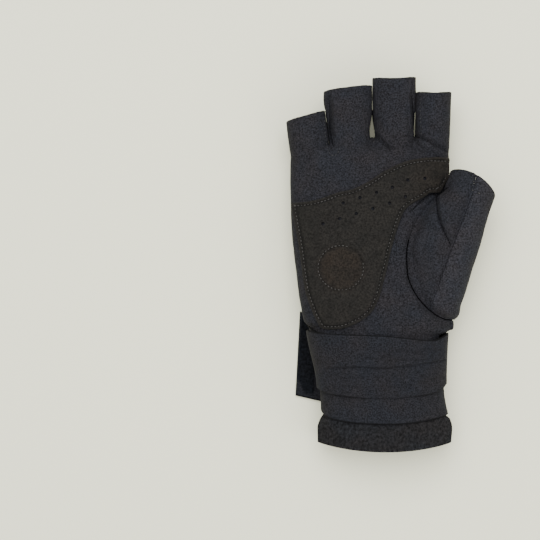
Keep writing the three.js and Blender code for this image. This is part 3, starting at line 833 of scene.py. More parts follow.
def palm_side(shift):
    """Space above the side seams."""
    palm, fingers = np.linspace(-30, KNUCKLES, 40), np.linspace(KNUCKLES + 1, 165, 24)
    y = np.concatenate([[-FAR], palm, fingers])
    z = seam_height(np.clip(y, -30, 160)) + shift
    line = list(zip(y, z))
    return cross_prism([*line, (y[-1], FAR), (-FAR, FAR)], -FAR, FAR)


def web_space(index, grow):
    """Space of the strip between a finger and the next."""
    near = stall_size(FINGERS[index], CROTCH)
    far = stall_size(FINGERS[index + 1], CROTCH)
    left = (near["left"] + near["right"]) / 2 - grow
    right = (far["left"] + far["right"]) / 2 + grow
    half = FOURCHETTE / 2 + grow
    y = np.concatenate([[WEB_START - grow], np.linspace(105, 165, 16)])
    z = seam_height(y)
    lower = list(zip(y, z - half))
    upper = list(zip(y, z + half))[::-1]
    return cross_prism([*lower, *upper], left, right)


def rim_space(index):
    """Everything past the rim of one finger stall."""
    finger = FINGERS[index]
    rim = rim_of(finger)
    size = stall_size(finger, rim)
    middle = (size["base"] + size["top"]) / 2
    centre = (size["left"] + size["right"]) / 2
    half = (size["right"] - size["left"]) / 2
    ends = [-62.0, *[float(middle_x) for middle_x, _ in finger_gaps(rim)], 56.0]
    x = np.linspace(max(ends[index], centre - half - 6), min(ends[index + 1], centre + half + 6), 25)
    bow = finger["bow"] * (1 - np.minimum(1, ((x - centre) / half) ** 2))
    y = rim + finger["skew"] * (x - centre) + bow
    up = np.linspace(2, 34, 17)  # steps along y beyond the rim
    left, right = x[0] + 0 * up, x[-1] + 0 * up
    if index > 0:
        left = finger_gaps(y[0] + up)[index - 1][0]
    if index < len(FINGERS) - 1:
        right = finger_gaps(y[-1] + up)[index][0]
    loop = [*zip(x, y), *zip(right, y[-1] + up), *zip(left[::-1], y[0] + up[::-1])]
    return prism(loop, *RIM_HEIGHTS, OPENING_SLOPE, middle)


def thumb_rim_space():
    """Everything past the thumb's rim, which reaches further on the palm side."""
    u = np.linspace(-15.2, 22, 31)
    s = THUMB_LENGTH + THUMB_SKEW * u + 2.4 * (1 - (u / 14.0) ** 2).clip(-0.4, 1)
    front = np.stack(thumb_place(s, u), axis=1)
    back = [(110.0, 90.0), (110.0, 150.0), (64.0, 150.0), (48.6, 104.0), (47.0, 97.0)]
    return prism(np.vstack([front, back]), *RIM_HEIGHTS, THUMB_SLOPE, 1.1 * THUMB_HEIGHT)


def drop_crumbs(bm):
    """Deletes every loose bit of a piece but the largest."""
    left, groups = set(bm.verts), []
    while left:
        front = [left.pop()]
        group = set(front)
        while front:
            vert = front.pop()
            near = {edge.other_vert(vert) for edge in vert.link_edges} & left
            left -= near
            group |= near
            front += near
        groups.append(group)
    groups.sort(key=len)
    crumbs = [vert for group in groups[:-1] for vert in group]
    bmesh.ops.delete(bm, geom=crumbs, context="VERTS")


def soften_edges(mesh, rounds):
    """Rounds the sharp cut edges of a cloth piece a little."""
    angle, merging = 0.7, 0.02
    bm = bmesh.new()
    bm.from_mesh(mesh)
    bmesh.ops.remove_doubles(bm, verts=bm.verts, dist=merging)
    bmesh.ops.dissolve_degenerate(bm, edges=bm.edges, dist=merging)
    drop_crumbs(bm)
    sharp = set()
    for edge in bm.edges:
        if len(edge.link_faces) == 2 and edge.calc_face_angle(0) > angle:
            sharp.update(edge.verts)
    for _ in range(rounds):
        bmesh.ops.smooth_vert(
            bm, verts=list(sharp), factor=0.4,
            use_axis_x=True, use_axis_y=True, use_axis_z=True,
        )
    bm.to_mesh(mesh)
    bm.free()
    return mesh


# Least angle between two faces, in radians, that stays a sharp edge
SHARP_FROM = 0.9


def mark(mesh, name, values, kind="FLOAT"):
    """Writes one value for each point of a mesh as an attribute."""
    key = "value" if kind == "FLOAT" else "vector"
    mesh.attributes.new(name, kind, "POINT").data.foreach_set(key, np.ravel(values))


def give_finish(mesh, name, finish, node):
    """Sets a finished mesh down in the frame as a piece."""
    moved(mesh, (spots(mesh) + SHIFT) * MM)
    mesh.name = name
    mesh.materials.clear()
    mesh.materials.append(finish_named(finish))
    mesh.polygons.foreach_set("use_smooth", [True] * len(mesh.polygons))
    mesh.polygons.foreach_set("material_index", [0] * len(mesh.polygons))
    mesh.set_sharp_from_angle(angle=SHARP_FROM)
    piece = linked(name, mesh)
    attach(piece, "root")
    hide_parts(node)
    return piece


# Forms and finishes that are made once
MADE = {}


def hand_form():
    """The filled glove, made once and used by every piece that follows its surface."""
    if "form" not in MADE:
        form = MADE["form"] = shaped_glove(filled_glove())
        MADE["tree"] = BVHTree.FromPolygons(
            [v.co for v in form.vertices], [p.vertices for p in form.polygons]
        )
    return MADE["form"]


def laid_on(path, side=1):
    """Heights, normals and hits of the glove along a path, from above (1) or below (-1)."""
    hand_form()
    heights, normals, hits = [], [], []
    ray = Vector((0, 0, -side))
    last = (0.0, Vector((0, 0, 1)))
    for x, y in path:
        start = Vector((x, y, RAY_HEIGHT * side))
        place, normal, _, _ = MADE["tree"].ray_cast(start, ray)
        if place is not None:
            last = (place.z, normal)
        hits.append(place is not None)
        heights.append(last[0])
        normals.append(last[1])
    return np.array(heights), np.array(normals), np.array(hits)


def finish_tree(name):
    """A new material with its node tree and surface shader."""
    material = bpy.data.materials.new(name)
    material.use_nodes = True
    tree = material.node_tree
    return material, tree, tree.nodes["Principled BSDF"]


def add_node(tree, kind, feeds=None, **settings):
    """A node with its settings, and its inputs set or linked by name."""
    made = tree.nodes.new(kind)
    for key, value in settings.items():
        setattr(made, key, value)
    for name, value in (feeds or {}).items():
        feed(tree, made, name, value)
    return made


def feed(tree, node, name, value):
    """Sets a node's input, or links an output to it. Colours may be given without alpha."""
    socket = node.inputs[name]
    if isinstance(value, bpy.types.NodeSocket):
        tree.links.new(value, socket)
    elif socket.type == "RGBA" and len(value) == 3:
        socket.default_value = (*value, 1.0)
    else:
        socket.default_value = value


def object_place(tree):
    return add_node(tree, "ShaderNodeTexCoord").outputs["Object"]


def noise_of(tree, place, scale, detail, roughness):
    feeds = {"Vector": place, "Scale": scale, "Detail": detail, "Roughness": roughness}
    return add_node(tree, "ShaderNodeTexNoise", feeds).outputs["Fac"]


def calculated(tree, operation, first, second, clamp=False):
    feeds = {0: first, 1: second}
    node = add_node(tree, "ShaderNodeMath", feeds, operation=operation, use_clamp=clamp)
    return node.outputs[0]


def attribute_of(tree, name):
    return add_node(tree, "ShaderNodeAttribute", attribute_name=name).outputs["Fac"]


def ramp_of(tree, factor, stops):
    """A colour ramp through stops of place and colour."""
    node = add_node(tree, "ShaderNodeValToRGB", {"Fac": factor})
    ramp = node.color_ramp
    while len(ramp.elements) < len(stops):
        ramp.elements.new(0.5)
    for element, (place, colour) in zip(ramp.elements, stops):
        element.position = place
        element.color = (*colour, 1.0)
    return node.outputs["Color"]


def mixed(tree, factor, first, second, blend="MIX"):
    """Two colours mixed by a factor."""
    feeds = {0: factor, 6: first, 7: second}
    node = add_node(tree, "ShaderNodeMix", feeds, data_type="RGBA", blend_type=blend)
    return node.outputs[2]


def shades(colour, low, high):
    """A darker and a lighter shade of a colour."""
    return tuple(c * low for c in colour), tuple(c * high for c in colour)


def set_shader(shader, rough, sheen, sheen_rough, gloss):
    """Sets the constants of a finish on the shader itself."""
    shader.inputs["Roughness"].default_value = rough
    shader.inputs["Sheen Weight"].default_value = sheen
    shader.inputs["Sheen Roughness"].default_value = sheen_rough
    shader.inputs["Specular IOR Level"].default_value = gloss


def covered(tree, shader, colour, height, strength, distance):
    """Gives a surface its colour, and a fine relief from a height."""
    feed(tree, shader, "Base Color", colour)
    feeds = {"Height": height, "Strength": strength, "Distance": distance}
    feed(tree, shader, "Normal", add_node(tree, "ShaderNodeBump", feeds).outputs["Normal"])


def woven_cloth(name, colour, grain=1.0, sheen=0.01, gloss=0.1):
    """Matte stretch cloth with fine fibres and an uneven tone, and painted shade where an attribute
    marks the wrap's edges.
    """
    material, tree, shader = finish_tree(name)
    place = object_place(tree)
    fuzz = noise_of(tree, place, scale=1150 * grain, detail=3.0, roughness=0.75)
    tone = noise_of(tree, place, scale=60.0, detail=3.0, roughness=0.55)
    low, high = shades(colour, 0.25, 2.1)
    thread = ramp_of(tree, fuzz, [(0.36, low), (0.66, high)])
    cool, warm = (0.9, 0.97, 1.06), (1.06, 1.0, 0.98)
    tint = ramp_of(tree, tone, [(0.35, cool), (0.65, warm)])
    tinted = mixed(tree, 1.0, thread, tint, "MULTIPLY")
    # Painted shade: the cloth is darkened along the wrap's edges, in place of the shadow lines that
    # each layer's edge casts on the layer or cuff below.
    edge_shaded = mixed(tree, attribute_of(tree, "selvedge"), tinted, shades(colour, 0.15, 1)[0])
    covered(tree, shader, edge_shaded, fuzz, strength=0.6, distance=0.0003)
    set_shader(shader, rough=0.88, sheen=sheen, sheen_rough=0.5, gloss=gloss)
    return material


def napped_suede(name, colour, tint):
    """Napped suede with a mottled tone, warmer where it is worn, and with painted shade where the
    attribute pressed marks its stitch grooves.
    """
    material, tree, shader = finish_tree(name)
    place = object_place(tree)
    nap = noise_of(tree, place, scale=900.0, detail=3.0, roughness=0.7)
    mottle = noise_of(tree, place, scale=150.0, detail=3.0, roughness=0.6)
    low, high = shades(colour, 0.5, 1.6)
    base = ramp_of(tree, nap, [(0.34, low), (0.64, high)])
    mottled = calculated(tree, "ADD", mottle, 0.35, clamp=True)
    patchy = calculated(tree, "MULTIPLY", attribute_of(tree, "worn"), mottled)
    low, high = shades(tint, 0.5, 1.6)
    worn = mixed(tree, patchy, base, ramp_of(tree, nap, [(0.34, low), (0.64, high)]))
    tone = ramp_of(tree, mottle, [(0.3, (0.86, 0.86, 0.86)), (0.7, (1.14, 1.12, 1.1))])
    napped = mixed(tree, 1.0, worn, tone, "MULTIPLY")
    # Painted shade: the suede is darkened in the pressed grooves along its stitching and the sewn ring,
    # in place of the shade that falls in them.
    groove_shade = calculated(tree, "MULTIPLY", attribute_of(tree, "pressed"), 0.7)
    groove_shaded = mixed(tree, groove_shade, napped, shades(colour, 0.1, 0.15)[0])
    covered(tree, shader, groove_shaded, nap, strength=0.7, distance=0.0004)
    set_shader(shader, rough=0.92, sheen=0.02, sheen_rough=0.6, gloss=0.08)
    return material


def twill_tape(name, colour):
    """Herringbone twill: slanted ribs that turn back at even columns along the tape."""
    material, tree, shader = finish_tree(name)
    column_width, rib_width = 0.003, 0.0006
    axes = add_node(tree, "ShaderNodeSeparateXYZ", {"Vector": object_place(tree)})
    column = calculated(tree, "PINGPONG", axes.outputs["X"], column_width)
    slant = calculated(tree, "ADD", axes.outputs["Y"], column)
    rib = calculated(tree, "PINGPONG", slant, rib_width)
    rib = calculated(tree, "MULTIPLY", rib, 1 / rib_width, clamp=True)
    low, high = shades(colour, 0.3, 1.9)
    ribbed = ramp_of(tree, rib, [(0.2, low), (0.8, high)])
    covered(tree, shader, ribbed, rib, strength=0.8, distance=0.0003)
    set_shader(shader, rough=0.85, sheen=0.02, sheen_rough=0.5, gloss=0.15)
    return material


def sewing_thread(name, colour):
    material, tree, shader = finish_tree(name)
    ply = noise_of(tree, object_place(tree), scale=2600.0, detail=2.0, roughness=0.5)
    low, high = shades(colour, 0.6, 1.5)
    twisted = ramp_of(tree, ply, [(0.3, low), (0.7, high)])
    covered(tree, shader, twisted, ply, strength=0.3, distance=0.0001)
    set_shader(shader, rough=0.62, sheen=0.05, sheen_rough=0.5, gloss=0.4)
    return material


def length_property(name, description, default, low, high):
    return FloatProperty(
        name=name, description=description, default=default, min=low, max=high,
        subtype="DISTANCE", unit="LENGTH", precision=4,
    )


def colour_property(name, description, default):
    return FloatVectorProperty(
        name=name, description=description, default=default, subtype="COLOR", min=0, max=1,
    )


class GloveSizes(bpy.types.PropertyGroup):
    """Sizes of the cloth, suede and thread"""

    cloth: length_property("Cloth", "Thickness of the stretch cloth", 0.0016, 0.001, 0.003)
    suede: length_property("Suede", "Thickness of the palm patch", 0.0012, 0.0006, 0.002)
    seam: length_property("Seam gap", "Dark line between two panels", 0.0003, 0.0001, 0.001)
    wrap: length_property("Wrap", "Thickness of the wrist wrap", 0.0015, 0.001, 0.0018)
    hole: length_property("Hole", "Width of the holes in the patch", 0.002, 0.0008, 0.003)
    stitch_pitch: length_property(
        "Stitch pitch", "Distance from one stitch to the next", 0.0021, 0.0015, 0.005
    )
    stitch_width: length_property("Stitch width", "Width of a stitch", 0.0006, 0.0002, 0.0012)
    ribs: IntProperty(
        name="Cuff ribs", description="Ribs round the knit cuff", default=110, min=40, max=200,
    )


class GloveColours(bpy.types.PropertyGroup):
    """Colours of the finishes"""

    cloth: colour_property("Cloth", "Blue-black stretch cloth", (0.0105, 0.0104, 0.0122))
    suede: colour_property("Suede", "Brown-black suede of the palm patch", (0.0092, 0.0090, 0.0084))
    worn: colour_property("Worn suede", "Suede inside the sewn ring", (0.0130, 0.0100, 0.0075))
    knit: colour_property("Knit", "Cuff and netting", (0.0076, 0.0075, 0.0081))
    elastic: colour_property("Elastic", "Wrist wrap", (0.0090, 0.0091, 0.0108))
    hook: colour_property("Hook", "Hook tape", (0.0041, 0.0046, 0.0057))
    thread: colour_property("Thread", "Sewing thread", (0.0045, 0.0045, 0.0055))
    patch_thread: colour_property("Patch thread", "Thread on the patch", (0.017, 0.016, 0.0148))
    floor: colour_property("Floor", "Pale warm floor", (0.8, 0.803, 0.625))


def sizes():
    return bpy.context.scene.glove_sizes


def colour(name):
    return tuple(getattr(bpy.context.scene.glove_colours, name))


def finish_named(name):
    """Each finish, made once."""
    if name not in MADE:
        makers = {
            "stretch_cloth": lambda: woven_cloth(name, colour("cloth")),
            # Painted light: a 1.3 times lighter copy of the stretch cloth, for the thumb's outer panel
            # that stands up towards the lamp.
            "cross_cloth": lambda: woven_cloth(name, shades(colour("cloth"), 1, 1.3)[1]),
            "palm_suede": lambda: napped_suede(name, colour("suede"), colour("worn")),
            "rib_knit": lambda: woven_cloth(name, colour("knit"), grain=0.6, sheen=0.02),
            "woven_elastic": lambda: woven_cloth(name, colour("elastic"), grain=1.1),
            "twill_tape": lambda: twill_tape(name, colour("elastic")),
            "hook_tape": lambda: woven_cloth(name, colour("hook"), 0.6, sheen=0.0, gloss=0.05),
            "thread": lambda: sewing_thread(name, colour("thread")),
            "patch_thread": lambda: sewing_thread(name, colour("patch_thread")),
        }
        MADE[name] = makers[name]()
    return MADE[name]


class GLOVE_OT_hand_panels(bpy.types.Operator):
    """Palm, back, finger strips and thumb, cut from one filled form with walls of cloth"""

    bl_idname = "glove.hand_panels"
    bl_label = "Hand panels"

    def execute(self, context):
        wall = sizes().cloth / MM
        seam = sizes().seam / MM
        outer = hand_form().copy()
        shell = cut(outer, sunk(outer, wall))
        for index in range(len(FINGERS)):
            shell = cut(shell, rim_space(index))
        shell = cut(shell, thumb_rim_space())
        for fold in SLITS:
            shell = cut(shell, slit(fold, outer))
        shell = common(shell, slab(-CUFF_SEAM + seam, FAR))
        gaps = range(len(FINGERS) - 1)
        panels = cut(shell, thumb_space(seam * 1.9))
        for gap in gaps:
            panels = cut(panels, web_space(gap, seam))
        back = cut(panels, palm_side(-seam / 2))
        lower = common(back, slab(-FAR, BACK_SEAM - seam / 2))
        thumb = common(shell, thumb_space(0))
        line = in_palm(THUMB_PANEL_LINE)
        half = 0.02
        inner_loop, outer_loop = [
            np.vstack([line + (way * half, 0), [(-FAR, FAR), (-FAR, -FAR)]]) for way in (-1, 1)
        ]
        pieces = {
            "palm_panel": common(panels, palm_side(seam / 2)),
            "back_panel": common(back, slab(BACK_SEAM + seam / 2, FAR)),
            "lower_back_panel": cut(lower, prism(outline_of(CUT_OUTLINE), -FAR, THUMB_SPLIT)),
            "thumb_inner_panel": common(thumb, prism(inner_loop, THUMB_SPLIT + half, FAR)),
            "thumb_outer_panel": cut(thumb, prism(outer_loop, THUMB_SPLIT - half, FAR)),
        }
        for gap in gaps:
            name = "_".join(["fourchette", FINGERS[gap]["name"], FINGERS[gap + 1]["name"]])
            pieces[name] = common(shell, web_space(gap, 0))
        for name, mesh in pieces.items():
            # The thumb's outer panel takes the lighter copy of the cloth, as painted light.
            finish = "cross_cloth" if name == "thumb_outer_panel" else "stretch_cloth"
            mesh = soften_edges(mesh, 1 if "thumb" in name else 2)
            give_finish(mesh, name + "_cloth", finish, name)
        return {"FINISHED"}


class GLOVE_OT_back_netting(bpy.types.Operator):
    """Netting inside the back, behind its half-moon cut"""

    bl_idname = "glove.back_netting"
    bl_label = "Back netting"

    def execute(self, context):
        wall = sizes().cloth / MM
        form = hand_form()
        depth = wall + NET_DEPTH
        outer, inner = sunk(form, depth), sunk(form, depth + NET_THICK)
        moon = grow_loop(outline_of(CUT_OUTLINE), 4.0)
        top = float(seam_height(0.0)) - 0.2 * PALM_HEIGHT
        net = common(cut(outer, inner), prism(moon, -FAR, top))
        give_finish(net, "back_netting_knit", "rib_knit", "back_netting")
        return {"FINISHED"}


# Sewn ring on the patch, in millimetres; how far its back lies over the cloth; how far in its stitches
# run, and up to which x
RING = {"centre": (-17.0, 35.96), "radius": 12.76}
PATCH_UNDER = 0.3
STITCH_INSET = 2.0
STITCHED_TO = 43.2


def patch_edge():
    """Outline of the patch with even points, anticlockwise."""
    edge = even(outline_of(PATCH_OUTLINE), 0.7, closed=True)
    return edge if facing_left(edge) else edge[::-1]


def net_over(edge):
    """Plan points and triangles that fill the patch, in rings along its edge and a net inside."""
    flat = [Vector(p) for p in edge]
    for by in (0.4, 0.9, 1.45, 2.0, 2.55, 3.1):
        ring = even(grow_loop(edge, -by), 0.9, closed=True)
        flat += [Vector(p) for p in ring if inside(edge, p[0], p[1])]
    lo, hi = edge.min(axis=0), edge.max(axis=0)
    gx, gy = np.meshgrid(np.arange(lo[0], hi[0], 1.0), np.arange(lo[1], hi[1], 1.0))
    gx = gx + 0.5 * (np.arange(gx.shape[0]) % 2)[:, None]
    grid = np.stack([gx.ravel(), gy.ravel()], axis=1)
    grid = grid[inside(edge, *grid.T)]
    far, _ = distance_to(edge, *grid.T, closed=True)
    flat += [Vector(p) for p in grid[far > 3.6]]
    border = [(i, (i + 1) % len(edge)) for i in range(len(edge))]
    places, _, faces, *_ = delaunay_2d_cdt(flat, border, [], 1, 0.05)
    return np.array([tuple(p) for p in places]), faces


def closed_sheet(top, below, faces):
    """Closed body between two sheets of points with the same faces."""
    count = len(top)
    used = {(a, b): True for face in faces for a, b in zip(face, face[1:] + face[:1])}
    body = [tuple(f) for f in faces]
    body += [tuple(v + count for v in f[::-1]) for f in faces]
    body += [(b, a, a + count, b + count) for a, b in used if (b, a) not in used]
    return mesh_from(np.vstack([top, below]), body)


def hole_punches():
    """Round prisms at even places along the rows of holes."""
    radius = sizes().hole / MM / 2
    angle = round_angles(16)[0]
    circle = radius * np.stack([np.cos(angle), np.sin(angle)], axis=1)
    punches = []
    for row in HOLE_ROWS:
        run = even(whole_spline(in_palm(row), 10), 0.5)
        for pick in np.linspace(0, len(run) - 1, HOLES_IN_ROW).round().astype(int):
            punches.append(prism(run[pick] + circle, 0, 80))
    return joined(punches)


class GLOVE_OT_palm_patch(bpy.types.Operator):
    """Suede patch laid on the palm, with rows of round holes"""

    bl_idname = "glove.palm_patch"
    bl_label = "Palm patch"

    def execute(self, context):
        thick = sizes().suede / MM
        edge = patch_edge()
        plan, faces = net_over(edge)
        far, _ = distance_to(edge, *plan.T, closed=True)
        z, n, _ = laid_on(plan)
        base = np.column_stack([plan, z])
        rounded = np.sqrt(np.clip(1 - (1 - np.clip(far / 0.9, 0, 1)) ** 2, 0, 1))
        height = thick * (0.25 + 0.75 * rounded) - 0.5 * bell(far, 0.6, STITCH_INSET)
        top = base + n * (PATCH_UNDER + height)[:, None]
        patch = cut(closed_sheet(top, base + n * PATCH_UNDER, faces), hole_punches())
        p = spots(patch)
        x, y, _ = p.T
        from_ring = np.hypot(x - RING["centre"][0], y - RING["centre"][1]) - RING["radius"]
        worn = 1 - 0.8 * ease((from_ring + 4) / 7)
        worn = worn * (0.75 + 0.25 * wandering(p, 9.0, 5)) + 0.25 * ease((x - 18) / 14)
        mark(patch, "worn", worn.clip(0, 1))
        # Where the suede gets painted shade: the groove along the edge stitching, up to STITCHED_TO,
        # and the sewn ring.
        far, _ = distance_to(edge, x, y, closed=True)
        pressed = bell(far, 0.65, STITCH_INSET) * (x < STITCHED_TO) + 0.8 * bell(from_ring, 0.6)
        mark(patch, "pressed", pressed.clip(0, 1))
        piece = give_finish(patch, "palm_patch_suede", "palm_suede", "palm_patch")
        x, y = edge.T
        return {"FINISHED"}


class GLOVE_OT_knit_cuff(bpy.types.Operator):
    """Knit cuff under the wrist wrap, with fine upright ribs"""

    bl_idname = "glove.knit_cuff"
    bl_label = "Knit cuff"

    def execute(self, context):
        wall = sizes().cloth / MM
        ribs = sizes().ribs
        angle = round_angles(4 * ribs)
        down = np.linspace(0, 1, 50)[:, None]
        y = -CUFF_SEAM + (CUFF_SEAM - SLEEVE_LENGTH) * down
        size = smooth_at(BODY_ROWS, "y", y)
        x, _ = body_oval(y, angle)
        half = (size["right"] - size["left"]) / 2
        bow = RIM_BOW * np.minimum(1, ((x - (size["right"] + size["left"]) / 2) / half) ** 2)
        place = y + bow * ease((down - 0.5) / 0.5)
        rib = 0.14 * np.cos(angle * ribs) * ease((down - 0.1) / 0.1)
        rings = []
        for depth, order in ((rib, 1), (-wall, -1)):
            px, pz = body_point(y + 0 * angle, angle + 0 * y, depth)
            rings.append(np.stack([px, place + 0 * px, pz], axis=-1)[::order])
        rings = np.concatenate(rings)
        count, sides = rings.shape[:2]
        cuff = mesh_from(rings.reshape(-1, 3), ring_faces(count, sides, count))
        give_finish(cuff, "knit_cuff_ribbed", "rib_knit", "knit_cuff")
        return {"FINISHED"}


# Points along each turn of the wrap and across it; the turn from which it is the outer layer;
# its fold and its tip in millimetres; where the crossing layers are thinned and how far
WRAP_STEPS = 150
WRAP_ACROSS = 90
OUTER_FROM = 1.4
WRAP_CREASE = [(-27.0, -21.5), (-8.0, -20.6), (8.8, -21.3), (26.2, -19.4), (46.0, -15.8)]
WRAP_TIP = {"top": (-40.3, 10.4), "bottom": (-42.9, -39.0)}
PAD_HEIGHTS = (1.8, 2.9)
HOOK_PAD = [(-39.1, 8.8), (-41.6, -28.0), (-37.4, -37.4), (-32.5, -37.4), (-32.5, 8.4)]
THIN_MIDDLE = 9.0
THIN_HALF = 17.0


def on_outer(turn):
    return ease((turn - OUTER_FROM) / 0.1)


def wrap_creases(x, y, turn):
    """Height of the folds on the palm side of the wrap's outer layer."""
    line = np.array(WRAP_CREASE)
    above = y - np.interp(x, line[:, 0], line[:, 1])
    fold = ease((above + 0.3) / 0.7) * np.exp(-np.clip(above, 0, 40) / 6)
    fold = fold - 0.6 * bell(above, 0.7, -0.7)
    soft = 0.55 * np.sin(above * 1.15 + 0.14 * x) * bell(above, 3.5, 6)
    low = 0.35 * np.sin((above + 12) * 0.9 - 0.05 * x) * bell(above, 5, -9)
    return ease((x + 30) / 12) * on_outer(turn) * (fold + soft * ease((x + 12) / 20) + low)


def two_sided(sides):
    """Rings of a band: each side's x, y, z across it, the second side in reverse."""
    faces = [np.stack([x, y + 0 * x, z], axis=-1) for x, y, z in sides]
    return np.concatenate([faces[0], faces[1][:, ::-1]], axis=1)


def to_edge(share):
    """Distance from a wrap edge at a share of its width."""
    return np.minimum(share, 1 - share) * WRAP_WIDTH


def wrap_bands():
    """Rings of the wrist wrap along its length: outer face from top to bottom, then inner."""
    thick = sizes().wrap / MM
    first, last = WRAP_ROWS[0]["turn"], WRAP_ROWS[-1]["turn"]
    turn = np.linspace(first, last, int((last - first) * WRAP_STEPS))[:, None]
    row = smooth_at(WRAP_ROWS, "turn", turn, straight=("layer",))
    share = np.linspace(0, 1, WRAP_ACROSS)[None, :]
    y = WRAP_WIDTH * (row["top"] + (row["bottom"] - row["top"]) * share)
    angle = -2 * np.pi * turn + 0 * y
    near = WRAP_NEAR + row["layer"] * WRAP_PITCH
    edge = np.clip(to_edge(share) / 0.8, 0, 1)
    rounded = 0.55 * (1 - np.sqrt(np.clip(1 - (1 - edge) ** 2, 0, 1)))
    x, z = body_point(y, angle, near)
    on_palm = ease((z - seam_height(y) - 3) / 4)
    middle = np.exp(-(((x - THIN_MIDDLE) / THIN_HALF) ** 4)) * on_outer(turn) * on_palm
    thin = middle * 0.92 * thick * (1 - ease((1 - share) * WRAP_WIDTH / 12))
    folds = on_palm * wrap_creases(x, y, turn + 0 * y)
    sides = []
    for depth in (thick - rounded - thin + folds, rounded * 0.6):
        x, z = body_point(y, angle, near + depth)
        sides.append((x, y, z))
    bands = two_sided(sides)
    run = np.linspace(0, 1, 14)[1:, None, None]
    tip = np.linspace(WRAP_TIP["top"], WRAP_TIP["bottom"], WRAP_ACROSS)
    tip = np.column_stack([tip, np.full(WRAP_ACROSS, 0.02)])
    tip = np.vstack([tip, tip[::-1] + (0, 0, thick)])[None]
    tail = bands[-1:] * (1 - run) + tip * run
    drop = ease(run[..., 0] * 1.6)
    tail[..., 2] = bands[-1:, :, 2] * (1 - drop) + tip[..., 2] * drop
    return np.concatenate([bands, tail])


class GLOVE_OT_wrist_wrap(bpy.types.Operator):
    """Wrist wrap wound over the cuff in layers, with its free end and hook pad"""

    bl_idname = "glove.wrist_wrap"
    bl_label = "Wrist wrap"

    def execute(self, context):
        bands = wrap_bands()
        wrap = mesh_from(*loft(bands))
        # Painted shade along both edges of the wrap, standing in for the shadow lines under its
        # overlapping edges; it is weakened along the lower edge of the outer layer on the palm side,
        # where the wrap is thinned.
        edge_shade_profile = 1 - ease((to_edge(np.linspace(0, 1, WRAP_ACROSS)) - 0.3) / 0.7)
        rows = np.tile(np.concatenate([edge_shade_profile, edge_shade_profile]), (bands.shape[0], 1))
        turn = np.arange(bands.shape[0])[:, None] / WRAP_STEPS + WRAP_ROWS[0]["turn"]
        low = np.abs(np.arange(2 * WRAP_ACROSS) - WRAP_ACROSS) < WRAP_ACROSS / 2
        edge_shade_fading = on_outer(turn) * (bands[..., 2] > 20) * low
        rows = rows * (1 - edge_shade_fading * np.exp(-(((bands[..., 0] - THIN_MIDDLE) / 19) ** 4)))
        edges = np.zeros(len(wrap.vertices))
        edges[:rows.size] = rows.ravel()
        mark(wrap, "selvedge", edges)
        piece = give_finish(
            wrap, "wrist_wrap_elastic", "woven_elastic", "wrist_wrap"
        )
        give_finish(prism(HOOK_PAD, *PAD_HEIGHTS), "hook_pad_tape", "hook_tape", "hook_pad")
        return {"FINISHED"}


class GLOVE_OT_pull_tabs(bpy.types.Operator):
    """Bowed twill tapes across the backs of the ring and middle fingers"""

    bl_idname = "glove.pull_tabs"
    bl_label = "Pull tabs"

    def execute(self, context):
        for index, share in ((1, 0.145), (2, 0.304)):
            name = "pull_tab_" + FINGERS[index]["name"]
            start = PALM_LENGTH + share * FINGER_LENGTH
            y = np.linspace(start, start + 11.5, 18)[None, :]
            angle = np.linspace(2 * np.pi * 0.58, 2 * np.pi * 0.92, 50)[:, None]
            bow = 2.2 * np.sin(np.linspace(0, np.pi, 50))[:, None]
            size = stall_size(FINGERS[index], y)
            sides = []
            for grow in (1.6 + bow, 0.4 + bow):
                x, z = pushed_out(lambda at: stall_oval(size, at), angle, grow, 0.03)
                sides.append((x, y, z))
            tab = mesh_from(*loft(two_sided(sides)))
            give_finish(tab, name + "_tape", "twill_tape", name)
        return {"FINISHED"}


# Stitched lines, in millimetres, on the palm and on the back
PALM_LINES = [
    [
        (-26.7, 125.3), (-26.3, 118.9), (-25.65, 111.4), (-24.6, 105), (-23.1, 101.8),
        (-21.1, 101), (-19, 102.1), (-17.6, 105),
    ],
    [(-1.9, 112.8), (-0.77, 110.5), (1.84, 109), (4.7, 109.3), (6.8, 111.1)],
    [(28.8, 133.1), (28.9, 124), (29.5, 113.7)],
    [(8.2, -64.3), (16.4, -64.5)],
]
BACK_LINES = [
    [(-44.5, 99.8), (-36, 101.4), (-26.5, 104.0)],
    [(29.5, 112.2), (36, 112.6), (43.5, 112.2)],
    [(-20.5, 128.0), (-11, 129.6), (-1.5, 130.4)],
    [(5.5, 137.2), (14, 137.6), (23.5, 137.2)],
]

# Tack in the thumb's hem, in millimetres
HEM_TACK = [(58.2, 80.4), (60.0, 79.5), (61.8, 78.7)]


